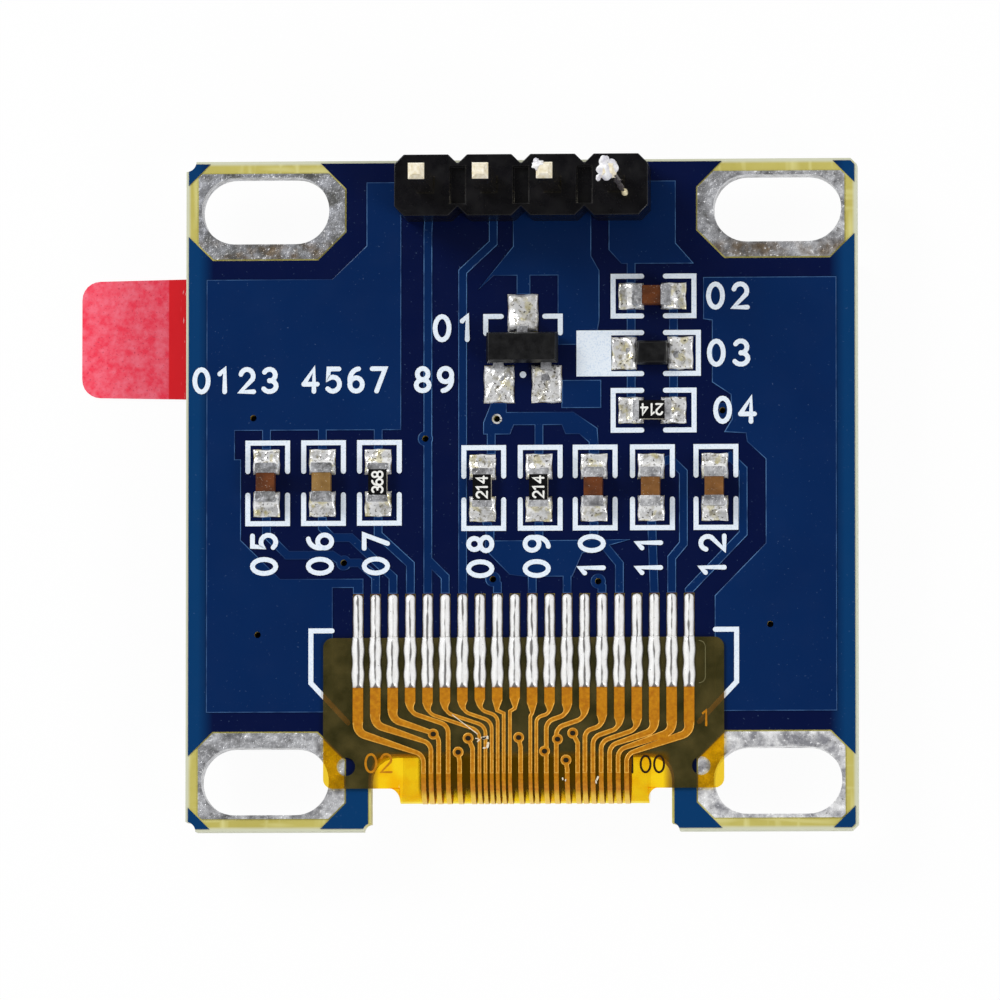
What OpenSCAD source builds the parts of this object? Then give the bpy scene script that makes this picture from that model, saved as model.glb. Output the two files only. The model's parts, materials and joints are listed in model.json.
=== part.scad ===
// Small OLED display module, component side up (+Z), display side down (-Z).
// The origin is the centre of the mounting slots, on the upper face of the bare laminate.
// The module lies on the protective film of its display.

/* [Board] */
// Width of the laminate along X
board_w = 27; // [26:0.5:30]
// Length of the laminate along Y
board_l = 27; // [26.5:0.5:30]
// Thickness of the laminate
board_t = 1.2; // [0.8:0.1:1.6]
// Radius of the round bite out of each left corner
corner_bite = 0.4; // [0.2:0.1:0.6]
// Leg of the chamfer on each right corner
corner_chamfer = 0.25; // [0.1:0.05:0.5]
// Width of the notch that the flex folds through
notch_w = 12.1; // [11:0.1:13]
// Depth of the notch from the lower edge
notch_depth = 3; // [2.5:0.1:3.2]
// Radius of the two inner corners of the notch
notch_r = 1; // [0.5:0.1:1.4]
// Radius of the round bites at the mouth of the notch
notch_bite = 0.3; // [0.1:0.1:0.5]

/* [Copper and coats] */
// Thickness of the copper foil
copper_t = 0.035; // [0.018:0.001:0.07]
// Thickness of the tin on open lands
tin_t = 0.02; // [0.01:0.005:0.04]
// Thickness of the solder mask over copper
coat_t = 0.025; // [0.015:0.005:0.04]
// Thickness of the printed lines
silk_t = 0.02; // [0.01:0.005:0.03]
// Distance from the board edge to the solder mask
coat_edge = 0.1; // [0.05:0.05:0.2]
// Gap between an open land and the solder mask round it
window_gap = 0.03; // [0.03:0.01:0.1]
// Width of a conductor track
track_w = 0.3; // [0.2:0.05:0.4]
// Distance from the board edge to the copper pours
pour_edge = 0.85; // [0.5:0.05:1.2]
// Distance from a slot land to the copper pours
pour_gap = 0.85; // [0.4:0.05:1]
// Radius of the copper ring of a via
via_ring_r = 0.28; // [0.25:0.01:0.35]
// Radius of a via hole
via_r = 0.13; // [0.1:0.01:0.18]
// Width of a printed line
silk_w = 0.2; // [0.15:0.01:0.25]

/* [Mounting slots] */
// Slot to slot distance along X
slot_spacing_x = 20.6; // [20:0.1:21]
// Slot to slot distance along Y
slot_spacing_y = 23; // [22.5:0.1:23.2]
// End to end length of a slot, along X
slot_l = 5.15; // [4:0.05:5.4]
// Width of a slot
slot_w = 2.7; // [2:0.1:3]
// Length of the eight-sided land round a slot
slot_land_l = 6.4; // [6:0.1:6.6]
// Width of the eight-sided land round a slot
slot_land_w = 3.9; // [3.6:0.1:4]
// Leg of the corner cuts of that land
slot_land_cut = 1.1; // [0.6:0.1:1.4]
// Distance from the board edge at which that land is cut off
slot_land_edge = 0.5; // [0.3:0.1:0.6]
// Wall thickness of the plating in a slot
plating_t = 0.05; // [0.03:0.01:0.08]

/* [Pin header] */
// Number of pins
pin_count = 4; // [3:1:5]
// Distance between pins
pin_pitch = 2.54; // [2.5:0.01:2.54]
// Side of a square pin
pin_side = 0.64; // [0.5:0.01:0.7]
// Length of the taper at each end of a pin
pin_taper = 0.3; // [0.1:0.1:0.6]
// Height of the pin tips above the laminate
pin_up = 8.54; // [6:0.1:11]
// Reach of the pin tails below the laminate's upper face
pin_tail = 2.75; // [2.4:0.05:2.9]
// X of the middle of the pin row
header_x = 0.15; // [-0.5:0.05:0.5]
// Distance from the board edge to the pin row
header_edge = 1.25; // [1.2:0.01:1.5]
// Width of the header moulding across the row
header_w = 2.46; // [2.2:0.01:2.5]
// Height of the header moulding
header_h = 2.54; // [1.5:0.1:3]
// Leg of the vertical chamfers of each header block
header_cut = 0.38; // [0.2:0.01:0.5]
// Width of the dip between two blocks
dip_w = 0.62; // [0.3:0.01:0.8]
// Length of the dip between two blocks
dip_l = 1.5; // [1:0.1:1.6]
// Depth of the dip between two blocks
dip_depth = 0.35; // [0.1:0.05:0.6]
// Radius of the drilled and plated pin holes
pin_hole_r = 0.5; // [0.48:0.01:0.55]
// Radius of the round land at each pin
pin_land_r = 0.85; // [0.75:0.01:1]
// Height of the solder cone at each pin tail
pin_solder_h = 0.75; // [0.4:0.05:1]

/* [Chip parts] */
// Length of a chip part
chip_l = 1.55; // [1.5:0.05:1.7]
// Width of a chip part
chip_w = 0.8; // [0.75:0.01:0.9]
// Height of a chip capacitor
capacitor_h = 0.8; // [0.6:0.05:0.9]
// Height of a chip resistor
resistor_h = 0.45; // [0.35:0.05:0.6]
// Length of a capacitor's metal ends
capacitor_end = 0.4; // [0.3:0.05:0.45]
// Length of a resistor's metal ends
resistor_end = 0.26; // [0.2:0.02:0.4]
// Wall of the metal ends
end_wall = 0.03; // [0.02:0.01:0.05]
// Thickness of a resistor's black coat
resistor_coat = 0.03; // [0.02:0.01:0.04]
// Outer length over the two lands of a chip part
chip_land_l = 2.65; // [2.4:0.05:2.8]
// Width of a chip part's lands
chip_land_w = 1; // [0.9:0.05:1.1]
// Length of one chip land
chip_land = 0.95; // [0.8:0.05:1.1]
// Height of the solder at a chip end
chip_solder_h = 0.3; // [0.2:0.05:0.35]
// X of the first part of the left row
left_row_x = -10.25; // [-10.4:0.05:-10.1]
// Distance between the parts of the left row
left_row_pitch = 2.25; // [2:0.05:2.5]
// Y of the left row
left_row_y = 0.5; // [-0.5:0.1:1]
// Y of the right row
right_row_y = 0.27; // [-0.5:0.01:1]
// X of the three lying parts on the upper right
lying_x = 5.28; // [5:0.01:5.5]
// Distance between the three lying parts
lying_pitch = 2.3; // [2.2:0.01:2.4]
// Y of the lowest lying part
lying_y = 3.37; // [3.3:0.01:3.6]

/* [Diode] */
// Length of the diode moulding
diode_l = 1.3; // [1.1:0.05:1.6]
// Width of the diode moulding
diode_w = 1; // [0.8:0.05:1.2]
// Height of the diode moulding
diode_h = 0.65; // [0.5:0.05:0.8]
// Length over the diode's two leads
diode_span = 2.1; // [1.8:0.05:2.3]
// Width of a diode lead
diode_lead_w = 0.4; // [0.3:0.05:0.6]
// Outer length over the diode's lands
diode_land_l = 3.2; // [3:0.05:3.4]
// Width of the diode's lands
diode_land_w = 1.25; // [1:0.05:1.3]

/* [Transistor] */
// X of the transistor
transistor_x = 0.08; // [-0.2:0.01:0.4]
// Y of the transistor
transistor_y = 5.88; // [5.8:0.01:6]
// Length of the transistor moulding along X
transistor_l = 2.9; // [2.8:0.05:3]
// Width of the transistor moulding
transistor_w = 1.25; // [1.2:0.05:1.4]
// Height of the transistor moulding
transistor_h = 1.0; // [0.9:0.05:1.2]
// Gap under the transistor moulding
transistor_gap = 0.06; // [0.02:0.02:0.1]
// Length over the leads along Y
transistor_span = 2.6; // [2.4:0.05:2.8]
// Distance between the two lower leads
transistor_pitch = 1.92; // [1.8:0.01:2]
// Width of a lead
lead_w = 0.42; // [0.3:0.01:0.5]
// Thickness of a lead
lead_t = 0.13; // [0.1:0.01:0.2]
// Outer length over the transistor's lands
transistor_land_span = 4.3; // [4.1:0.05:4.4]
// Length of one land of the transistor
transistor_land_l = 1.45; // [1.3:0.05:1.5]
// Width of one land of the transistor
transistor_land_w = 1.15; // [1:0.05:1.2]

/* [Flex] */
// Number of soldered fingers
finger_count = 20; // [18:1:22]
// Distance between fingers
finger_pitch = 0.7; // [0.68:0.01:0.72]
// Width of a board land under a finger
finger_land_w = 0.37; // [0.3:0.01:0.4]
// Width of a soldered finger
finger_w = 0.42; // [0.36:0.01:0.46]
// Length of a soldered finger
finger_l = 2; // [1.5:0.1:2.2]
// Reach of the board lands beyond the end of the flex
finger_land_out = 1.75; // [1:0.05:2]
// Thickness of the polyimide film
film_t = 0.08; // [0.05:0.01:0.12]
// Thickness of the conductors on the film
trace_t = 0.02; // [0.012:0.002:0.035]
// Width of a conductor on the film
trace_w = 0.19; // [0.12:0.01:0.2]
// Thickness of the solder between film and board
joint_t = 0.03; // [0.02:0.005:0.05]
// Distance from the board's lower edge to the soldered end of the flex
flex_top = 7.75; // [7.5:0.05:8]
// X of the middle of the flex
flex_x = 0.1; // [-0.5:0.05:0.5]
// Width of the flex where it lies on the board
flex_w = 16.1; // [15.6:0.1:16.6]
// Distance from the board's lower edge to the shoulders of the flex
shoulder_edge = 1.7; // [1.5:0.05:1.8]
// Width of the neck that goes round the fold
neck_w = 10; // [9.6:0.1:10.6]
// Distance from the board's lower edge to the outside of the fold
fold_edge = 1.12; // [1:0.02:1.3]
// Radius of the corners of the flex
flex_r = 0.38; // [0.2:0.02:0.45]
// Radius of the two tooling holes
tooling_r = 0.37; // [0.2:0.01:0.4]
// Height of the solder on a finger
finger_solder_h = 0.12; // [0.05:0.01:0.2]

/* [Display] */
// Setback of the lower glass from the sides of the board
glass_edge = 0.15; // [0.05:0.05:0.5]
// Length of the lower glass
glass_l = 19.26; // [18.8:0.02:19.4]
// Thickness of the lower glass
glass_t = 0.7; // [0.5:0.05:1.1]
// Y of the centre of the glass
glass_y = 0.03; // [-0.1:0.01:0.1]
// Depth of the ledge that carries the driver chip and the flex
ledge = 4.3; // [4:0.1:4.6]
// Setback of the cover glass from the lower glass
cover_inset = 0.3; // [0.2:0.05:0.5]
// Thickness of the cover glass
cover_t = 0.55; // [0.4:0.05:0.7]
// Thickness of the glued seal between the two glasses
seal_t = 0.05; // [0.03:0.01:0.08]
// Width of that seal
seal_w = 1; // [0.6:0.1:1.5]
// Depth of the hollow in the cover glass
cover_hollow = 0.25; // [0.15:0.01:0.3]
// Thickness of the drying sheet in that hollow
dryer_t = 0.15; // [0.1:0.01:0.2]
// Distance from the sides of the glass to the pixel area
matrix_edge = 2.48; // [2.4:0.02:3.4]
// Length of the pixel area
matrix_l = 10.86; // [10:0.02:11.2]
// Thickness of the light-emitting layers
matrix_t = 0.02; // [0.01:0.005:0.03]
// Thickness of the polarizer
polarizer_t = 0.15; // [0.1:0.01:0.2]
// Setback of the polarizer from the edges of the glass
polarizer_inset = 0.4; // [0.2:0.05:0.6]
// Thickness of the protective film
cover_film_t = 0.05; // [0.03:0.01:0.08]
// Thickness of the adhesive tape behind the display
tape_t = 0.32; // [0.2:0.02:0.5]
// Setback of the tape from the cover glass
tape_inset = 1.4; // [0.5:0.1:2]
// Room between the drying sheet and the seal
dryer_room = 1; // [0.5:0.1:2]
// Length of the driver chip along X
driver_l = 10.4; // [8:0.1:12]
// Width of the driver chip
driver_w = 0.95; // [0.7:0.05:1.1]
// Height of the driver chip
driver_h = 0.3; // [0.2:0.02:0.4]
// Length of the bond between flex and glass
bond_l = 1.5; // [1:0.1:1.8]

/* [Pull tab] */
// Reach of the tab beyond the board's left edge
tab_out = 4.5; // [3:0.1:6]
// Length of the tab's grip under the protective film
tab_in = 2.6; // [1:0.1:4]
// Width of the tab along Y
tab_w = 5; // [4:0.1:6]
// Y of the middle of the tab
tab_y = 6.6; // [5.5:0.1:6.8]
// Thickness of the tab
tab_t = 0.1; // [0.05:0.01:0.15]
// Radius of the tab's free corners
tab_r = 0.75; // [0.3:0.05:1.5]
// How much narrower the tab gets on each side towards its free end
tab_slope = 0.15; // [0:0.05:0.4]

/* [Hidden] */
$fn = 48;
arc_steps = 6; // chords in a rounded corner
cut = 0.2; // how far a cutter runs past the faces that it cuts
right_row_x = [-1.55, 0.72, 2.93, 5.23, 7.78];
capacitor_names = [for (i = [1:6]) str("capacitor_", i)];
resistor_names = [for (i = [1:4]) str("resistor_", i)];
pin_names = [for (i = [1:pin_count]) str("header_pin_", i)];
slot_names = [for (i = [1:4]) str("slot_plating_", i)];
slot_sides = [[-1, 1], [1, 1], [-1, -1], [1, -1]]; // side of the board in x and y

// Edges and levels that the pieces share
left = -board_w / 2;
right = board_w / 2;
low = -board_l / 2;
high = board_l / 2;
land_z = copper_t + tin_t;
coat_z = copper_t + coat_t;
back_z = -board_t;

// Levels of the display stack, from the board down
front_z = back_z - copper_t;
cover_z = front_z - tape_t;
seal_z = cover_z - cover_t;
ledge_z = seal_z - seal_t;
glass_z = ledge_z - glass_t;
polarizer_z = glass_z - polarizer_t;
film_low_z = polarizer_z - cover_film_t;
glass_w = board_w - 2 * glass_edge;
matrix_w = glass_w - 2 * matrix_edge;
glass_low = glass_y - glass_l / 2;
cover_l = glass_l - ledge - cover_inset;
cover_y = glass_y + (ledge - cover_inset) / 2;

// Places along the board
pin_y = high - header_edge;
finger_y = low + flex_top;
window_y = finger_y - finger_l;
finger_land_y = finger_y + finger_land_out;
flex_z = land_z + joint_t;
trace_z = flex_z + film_t;
fold_y = low + fold_edge;
fold_r = (trace_z + trace_t - ledge_z) / 2;
fold_cy = fold_y + fold_r;
fold_cz = (trace_z + trace_t + ledge_z) / 2;
shoulder_y = low + shoulder_edge;
slot_land_low = slot_spacing_y / 2 - slot_land_w / 2;
pour_y = slot_land_low - pour_gap;
pour_left = left + pour_edge;
pour_right = right - pour_edge;
side_lap = 0.35; // how far the side pours and the printed brackets reach under the flex
flex_side = flex_w / 2 - side_lap;
lying_parts_y = [lying_y, lying_y + lying_pitch, lying_y + 2 * lying_pitch];

// Chip parts as [x, y, turn]
capacitors = [
  [right_row_x[2], right_row_y, 90], [right_row_x[3], right_row_y, 90],
  [right_row_x[4], right_row_y, 90], [left_row_x + left_row_pitch, left_row_y, 90],
  [left_row_x, left_row_y, 90], [lying_x, lying_parts_y[2], 0]
];
resistors = [
  [right_row_x[1], right_row_y, 90], [right_row_x[0], right_row_y, 90],
  [lying_x, lying_parts_y[0], 0], [left_row_x + 2 * left_row_pitch, left_row_y, 90]
];
chips = concat(capacitors, resistors);
diode = [lying_x, lying_parts_y[1], 0];

// Mouldings of the diode and the transistor, and their leads
diode_part_z = diode_h * 0.35; // height of the parting line
diode_draft = 0.08;
diode_lead_l = 0.8;
transistor_part_z = transistor_h * 0.55;
transistor_draft = 0.1;
lead_grip = 0.25; // length of a lead inside the moulding
lead_reach = 0.16; // length of a lead's level part outside the moulding

// Printed frames: room between lands and line, opening in the long sides, shift to one side
frame_room = 0.3;
diode_room = 0.2;
frame_gap = 0.95;
frame_shift = 0.05;
diode_bar = 1.3; // length of the solid bar at the diode's left end
pin_mark_r = 0.13; // dot at the transistor's lower leads
flex_bracket_out = 0.5; // distance of the flex brackets from the flex

// Vias of the board
vias = [
  [-10.78, 3.13], [-7.13, -2.72], [-10.6, -5.6], [10, -5.25], [-3.85, 2.27],
  [-1.13, -3.4], [3.1, -3.5], [8.1, 3.35], [-0.97, 3.05]
];

// Fan of the flex, one row per finger: x at the fold, height of the knee over the board's lower edge
fan = [
  [-4.01, 3.94], [-3.71, 4.26], [-3.4, 4.47], [-3.02, 4.75], [-1.76, 4.72],
  [-1.52, 4.75], [-1.27, 4.79], [-1.03, 4.85], [-0.79, 4.82], [-0.54, 4.9],
  [0.28, 4.7], [0.52, 4.7], [0.92, 4.65], [1.32, 4.5], [2.47, 4.2],
  [2.79, 4.1], [3.12, 4.05], [3.46, 4], [3.8, 3.95], [4.14, 3.9]
];
fan_slope = 0.34;
fan_drop = 0.12; // least height over which a conductor shifts sideways
fan_r = 0.42; // radius of a conductor's bends
fan_taper = 0.42; // height above the knee at which a finger starts to narrow
fan_reach = [0.75, 0.6, 0.45]; // how far below the knee the outer fingers go on narrowing
narrow_end = 0.06; // the other fingers reach their least width this far above the knee
narrow = [for (i = [0:len(fan) - 1]) i > 3 && i < 12]; // the crowded middle traces
narrow_w = 0.15;
// Conductors that start at a ring of their own: x at the fold, ring x, height over the lower edge
loose = [[-2.56, -2.62, 3.15], [-2.04, -2.22, 3.71], [-0.11, -0.19, 3.73],
         [1.76, 1.71, 2.82], [2.18, 1.98, 3.9]];
// Rings that sit on a fan trace
fan_rings = [[-3.62, 3.88], [0.85, 3.18], [1.37, 3.66]];
flex_ring_r = 0.22;
flex_ring_hole = 0.08;
tooling_edge = 0.92; // distance from the sides of the flex to the middles of the tooling holes
tooling_y = low + 2.58;
loose_drop = 0.4; // height over which a loose conductor leaves its ring

// Unit vector along v
function unit(v) = v / norm(v);
// Left-hand normal of the step from a to b
function side(a, b) = let(u = unit(b - a)) [-u.y, u.x];
// Mitred offset direction where normals m and n meet
function mitre(m, n) = let(k = unit(m + n)) k / (k * n);
// Normals of an open path at each point, mitred at its corners
function path_normals(p) = let(last = len(p) - 1) [
  for (i = [0:last])
    i == 0 ? side(p[0], p[1]) :
    i == last ? side(p[last - 1], p[last]) :
    mitre(side(p[i - 1], p[i]), side(p[i], p[i + 1]))
];
// Outline of a strip along path p that is w[i] wide at point i
function strip(p, w) = let(n = path_normals(p), last = len(p) - 1) [
  for (i = [0:last]) p[i] + n[i] * w[i] / 2,
  for (i = [last:-1:0]) p[i] - n[i] * w[i] / 2
];
// Outline of a line of width w along path p
function line(p, w) = strip(p, [for (q = p) w]);
// Half circle of diameter w round the end of a line that runs along direction u
function round_end(at, u, w) = [
  for (i = [1:arc_steps - 1]) let(t = 90 - 180 * i / arc_steps)
    at + w / 2 * [u.x * cos(t) - u.y * sin(t), u.y * cos(t) + u.x * sin(t)]
];
// Outline of a brush stroke: a line of width w along path p with round ends
function stroke(p, w) = let(n = path_normals(p), last = len(p) - 1) [
  for (i = [0:last]) p[i] + n[i] * w / 2,
  each round_end(p[last], unit(p[last] - p[last - 1]), w),
  for (i = [last:-1:0]) p[i] - n[i] * w / 2,
  each round_end(p[0], unit(p[0] - p[1]), w)
];
// Counter-clockwise loop p moved outwards by d
function grown(p, d) = let(n = len(p)) [
  for (i = [0:n - 1])
    let(a = p[(i + n - 1) % n], b = p[i], c = p[(i + 1) % n])
    b - mitre(side(a, b), side(b, c)) * d
];
// Arc of radius r that rounds the corner b between a and c
function corner(a, b, c, r) =
  let(u = unit(a - b), v = unit(c - b), half = acos(u * v) / 2)
  let(centre = b + unit(u + v) * r / sin(half), first = b + u * r / tan(half) - centre)
  let(final = b + v * r / tan(half) - centre)
  let(start = atan2(first.y, first.x), sweep = atan2(cross(first, final), first * final))
  r == 0 ? [b] :
  [for (i = [0:arc_steps]) let(t = start + sweep * i / arc_steps) centre + r * [cos(t), sin(t)]];
// Loop p with each corner rounded by its radius in r
function rounded(p, r) = let(n = len(p)) [
  for (i = [0:n - 1]) each corner(p[(i + n - 1) % n], p[i], p[(i + 1) % n], r[i])
];
// Open path p with its inner corners rounded by r
function eased(p, r) = let(last = len(p) - 1) [
  p[0], for (i = [1:last - 1]) each corner(p[i - 1], p[i], p[i + 1], r), p[last]
];
// Middle of a finger from the flex's own middle line, and on the board
function finger_place(i) = (i - (finger_count - 1) / 2) * finger_pitch;
function finger_x(i) = flex_x + finger_place(i);
function pin_x(i) = header_x + (i - (pin_count - 1) / 2) * pin_pitch;
function finger_land(i) = [finger_x(i), finger_land_y];
last_finger = finger_count - 1;

// Loops of the copper pours, counter-clockwise
left_pour = [
  [pour_left, -pour_y], [flex_x - flex_side, -pour_y], [flex_x - flex_side, finger_land_y + 0.3],
  [finger_x(0) - finger_land_w / 2, finger_land_y + 0.3],
  [finger_x(0) - finger_land_w / 2, finger_land_y],
  [finger_x(0) + finger_land_w / 2, finger_land_y], [finger_x(0) + finger_land_w / 2, finger_land_y + 0.62],
  [-9.7, finger_land_y + 0.62], [-11.3, -1.8], [-11.3, 1.45], [-11.55, 1.45],
  [-11.55, left_row_y + 2.15], [-4.85, left_row_y + 2.15], [-4.85, pin_y + 0.35], [-6.2, pin_y + 0.35],
  [-6.2, 10.05], [-7.6, pour_y], [pour_left, pour_y]
];
right_pour = [
  [flex_x + flex_side, -pour_y], [pour_right, -pour_y], [pour_right, pour_y], [7.35, pour_y], [7.35, 7.05],
  [7.7, 7], [7.7, 4.5], [8.45, 4], [8.5, 3], [8.2, 2.5], [9.05, 2.45], [9.1, 2.1], [9.85, 1.4],
  [9.85, -2], [flex_x + flex_side, -4.1]
];
middle_pour = [
  [1.5, 6.05], [2.95, 6.05], [3.13, 7], [3.13, 9], [2.8, 9.6], [2.8, pin_y], [-0.3, pin_y],
  [-0.3, 10], [-1.5, 8.5], [-1.1, 8.85], [-0.15, 8.85], [-0.15, 7.9], [0.35, 7.9], [0.35, 8.85], [1.5, 8.85]
];
supply_pour = [[4.05, 9.3], [6.9, 9.3], [6.2, 10.1], [6.2, pin_y + 0.35], [3.55, pin_y + 0.35], [3.55, 9.85]];
upper_pour = [
  [-1.5, 2.45], [-0.45, 2.45], [-0.3, 2.82], [1.65, 2.82], [1.8, 2.45], [2.35, 2.45], [2.75, 2.1],
  [2.75, 1.2], [3.15, 1.2], [3.05, 2.65], [2.1, 3.3], [-0.6, 3.3], [-0.6, 3.9], [-1.1, 3.9], [-1.5, 2.9]
];
lower_pour = [
  [0.15, -3.28], [2.05, -3.28], [2.45, -2.35], [4.2, -1.85], [-1.43, -1.87], [-1.43, -2.2], [-0.45, -3.2]
];
side_pour = [[1.65, 3.5], [3.2, 3.5], [3.2, 4.58], [1.65, 4.58]];
pours = [left_pour, right_pour, middle_pour, supply_pour, upper_pour, lower_pour, side_pour];

// Middle of the land at one end of a chip part, e = -1 or 1 along its length
function chip_land_at(p, e) =
  let(d = e * (chip_land_l - chip_land) / 2)
  [p.x, p.y] + d * [cos(p[2]), sin(p[2])];

// Conductor tracks of the board
tracks = [
  [[pin_x(0), pin_y], [finger_x(4), 10.6], finger_land(4)],
  [[finger_x(4), -2.6], [finger_x(5), -3.3], finger_land(5)],
  [[pin_x(1), pin_y], [pin_x(1), 10.15], [finger_x(6), 9], finger_land(6)],
  [chip_land_at(capacitors[4], -1), [left_row_x, -1.55], [-9.4, -2.4], [-7.6, -2.4], [-7.13, -2.72],
    [-6.5, -2.72], [finger_x(1), -3.27], finger_land(1)],
  [chip_land_at(capacitors[3], -1), [capacitors[3].x, -1.3], [-7.6, -1.7], [-6.85, -1.7],
    [finger_x(2), -3.3], finger_land(2)],
  [chip_land_at(resistors[3], -1), [resistors[3].x, -1.58], [finger_x(3), -2.78], finger_land(3)],
  [[-1.13, -3.4], [finger_x(8), -3.6], finger_land(8)],
  [[finger_x(10), -3.1], finger_land(10)],
  [[finger_x(12), -3.1], finger_land(12)],
  [[3.1, -3.5], [finger_x(14), -3.7], finger_land(14)],
  [[3.3, -2], [finger_x(15), -2.8], finger_land(15)],
  [chip_land_at(capacitors[1], -1), finger_land(17)],
  [chip_land_at(capacitors[1], 1), [6, 1.4], [6.52, 0.88], [6.52, -2],
    [finger_x(18), -2.57], finger_land(18)],
  [chip_land_at(capacitors[2], 1), [8.4, 1.5], [8.92, 0.98], [8.92, -1.6], [finger_x(last_finger), -3.87],
    finger_land(last_finger)],
  for (e = [-1, 1]) each [
    [chip_land_at(resistors[2], e), chip_land_at(diode, e)],
    [chip_land_at(diode, e), chip_land_at(capacitors[5], e)]
  ],
  for (p = [capacitors[4], capacitors[3], resistors[3]])
    [chip_land_at(p, 1), chip_land_at(p, 1) + [0, 1.7]],
  [chip_land_at(capacitors[5], -1), chip_land_at(capacitors[5], -1) + [0, 1.8]],
  [chip_land_at(resistors[1], 1), chip_land_at(resistors[1], 1) + [0.35, 0.5], [-1.2, 2.7]],
  [chip_land_at(resistors[0], 1), [resistors[0].x, 3]],
  [chip_land_at(resistors[0], -1), [resistors[0].x, -2.3]],
  [chip_land_at(capacitors[0], -1), [capacitors[0].x, -2.1]],
  [chip_land_at(resistors[1], -1), [-1.25, -1.5], [-1.25, -2.1]]
];

// --- Plans, drawn flat ---

module board_plan(inset = 0) {
  mouth = notch_w / 2 + inset;
  roof = low + notch_depth + inset;
  difference() {
    square([board_w - 2 * inset, board_l - 2 * inset], center = true);
    for (y = [low, high]) translate([left, y]) circle(corner_bite);
    for (s = [-1, 1])
      translate([right, s * high]) rotate(45)
        square((corner_chamfer + inset) * sqrt(2), center = true);
    polygon(rounded(
      [[-mouth, roof], [-mouth, low - cut], [mouth, low - cut], [mouth, roof]],
      [notch_r, 0, 0, notch_r]
    ));
    for (s = [-1, 1]) translate([s * notch_w / 2, low]) circle(notch_bite);
  }
}

module slot_plan(extra = 0) {
  reach = (slot_l - slot_w) / 2;
  for (s = [-1, 1]) translate([s * reach, 0]) circle(slot_w / 2 + extra);
  square([2 * reach, slot_w + 2 * extra], center = true);
}

// Rectangle 2l by 2w with a chamfer of leg c on each corner
module eight_sided(l, w, c) {
  polygon([[-l, c - w], [c - l, -w], [l - c, -w], [l, c - w],
           [l, w - c], [l - c, w], [c - l, w], [-l, w - c]]);
}

module slot_land_plan(extra = 0) {
  eight_sided(slot_land_l / 2 + extra, slot_land_w / 2 + extra, slot_land_cut + extra * (2 - sqrt(2)));
}

module at_slots() {
  for (x = [-1, 1], y = [-1, 1])
    translate([x * slot_spacing_x / 2, y * slot_spacing_y / 2]) children();
}

module at_pins() {
  for (i = [0:pin_count - 1]) translate([pin_x(i), pin_y]) children();
}

module at_chip(p) {
  translate([p.x, p.y]) rotate(p[2]) children();
}

// The two lands of a part that lies along X, grown by extra
module land_pair(length, land, width, extra = 0) {
  for (s = [-1, 1])
    translate([s * (length - land) / 2, 0])
      square([land + 2 * extra, width + 2 * extra], center = true);
}

module part_lands(extra = 0) {
  for (p = chips) at_chip(p) land_pair(chip_land_l, chip_land, chip_land_w, extra);
  at_chip(diode) land_pair(diode_land_l, chip_land, diode_land_w, extra);
  translate([transistor_x, transistor_y]) at_transistor_leads()
    translate([0, (transistor_land_span - transistor_land_l) / 2])
      square([transistor_land_w + 2 * extra, transistor_land_l + 2 * extra], center = true);
}

// Children pointing up are drawn at the single upper lead, and turned down at the two lower ones
module at_transistor_leads() {
  children();
  for (s = [-1, 1]) translate([s * transistor_pitch / 2, 0]) mirror([0, 1]) children();
}

module finger_lands(extra = 0) {
  for (i = [0:finger_count - 1])
    translate([finger_x(i) - finger_land_w / 2 - extra, window_y - extra])
      square([finger_land_w + 2 * extra, finger_l + finger_land_out + 2 * extra]);
}

// All copper of the upper face apart from the slot lands, grown by extra
module copper_plan(extra = 0) {
  for (p = pours) polygon(grown(p, extra));
  for (p = tracks) polygon(line(p, track_w + 2 * extra));
  for (v = vias) translate(v) circle(via_ring_r + extra);
  at_pins() circle(pin_land_r + extra);
  part_lands(extra);
  finger_lands(extra);
}

module open_lands(extra = 0) {
  part_lands(extra);
  finger_lands(extra);
}

module via_holes() {
  for (v = vias) translate(v) circle(via_r);
}

module coat_windows() {
  open_lands(window_gap);
  at_slots() slot_land_plan(window_gap * 2);
  at_pins() circle(pin_land_r);
  via_holes();
}

// --- Board ---

module board_core() {
  color([0.8, 0.77, 0.42]) translate([0, 0, back_z]) linear_extrude(board_t) difference() {
    board_plan();
    at_slots() slot_plan(plating_t);
    at_pins() circle(pin_hole_r);
    via_holes();
  }
}

module copper_back() {
  color([0.8, 0.5, 0.3]) linear_extrude(copper_t) difference() {
    copper_plan();
    at_pins() circle(pin_hole_r);
    via_holes();
  }
}

module land_tinning() {
  color([0.8, 0.8, 0.82]) translate([0, 0, copper_t]) linear_extrude(tin_t) {
    open_lands();
    at_pins() difference() {
      circle(pin_land_r);
      circle(pin_hole_r);
    }
  }
}

// The mask fills the space round the copper and lies over it as a thin raised coat
module solder_mask_back() {
  color([0.04, 0.12, 0.36]) {
    linear_extrude(copper_t) difference() {
      board_plan(coat_edge);
      copper_plan();
      coat_windows();
    }
    translate([0, 0, copper_t]) linear_extrude(coat_t) difference() {
      copper_plan(window_gap);
      coat_windows();
    }
  }
}

module solder_mask_front() {
  color([0.04, 0.12, 0.36]) translate([0, 0, front_z]) linear_extrude(copper_t) difference() {
    board_plan(coat_edge);
    at_slots() slot_land_plan(window_gap * 2);
    at_pins() circle(pin_land_r + window_gap);
  }
}

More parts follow.
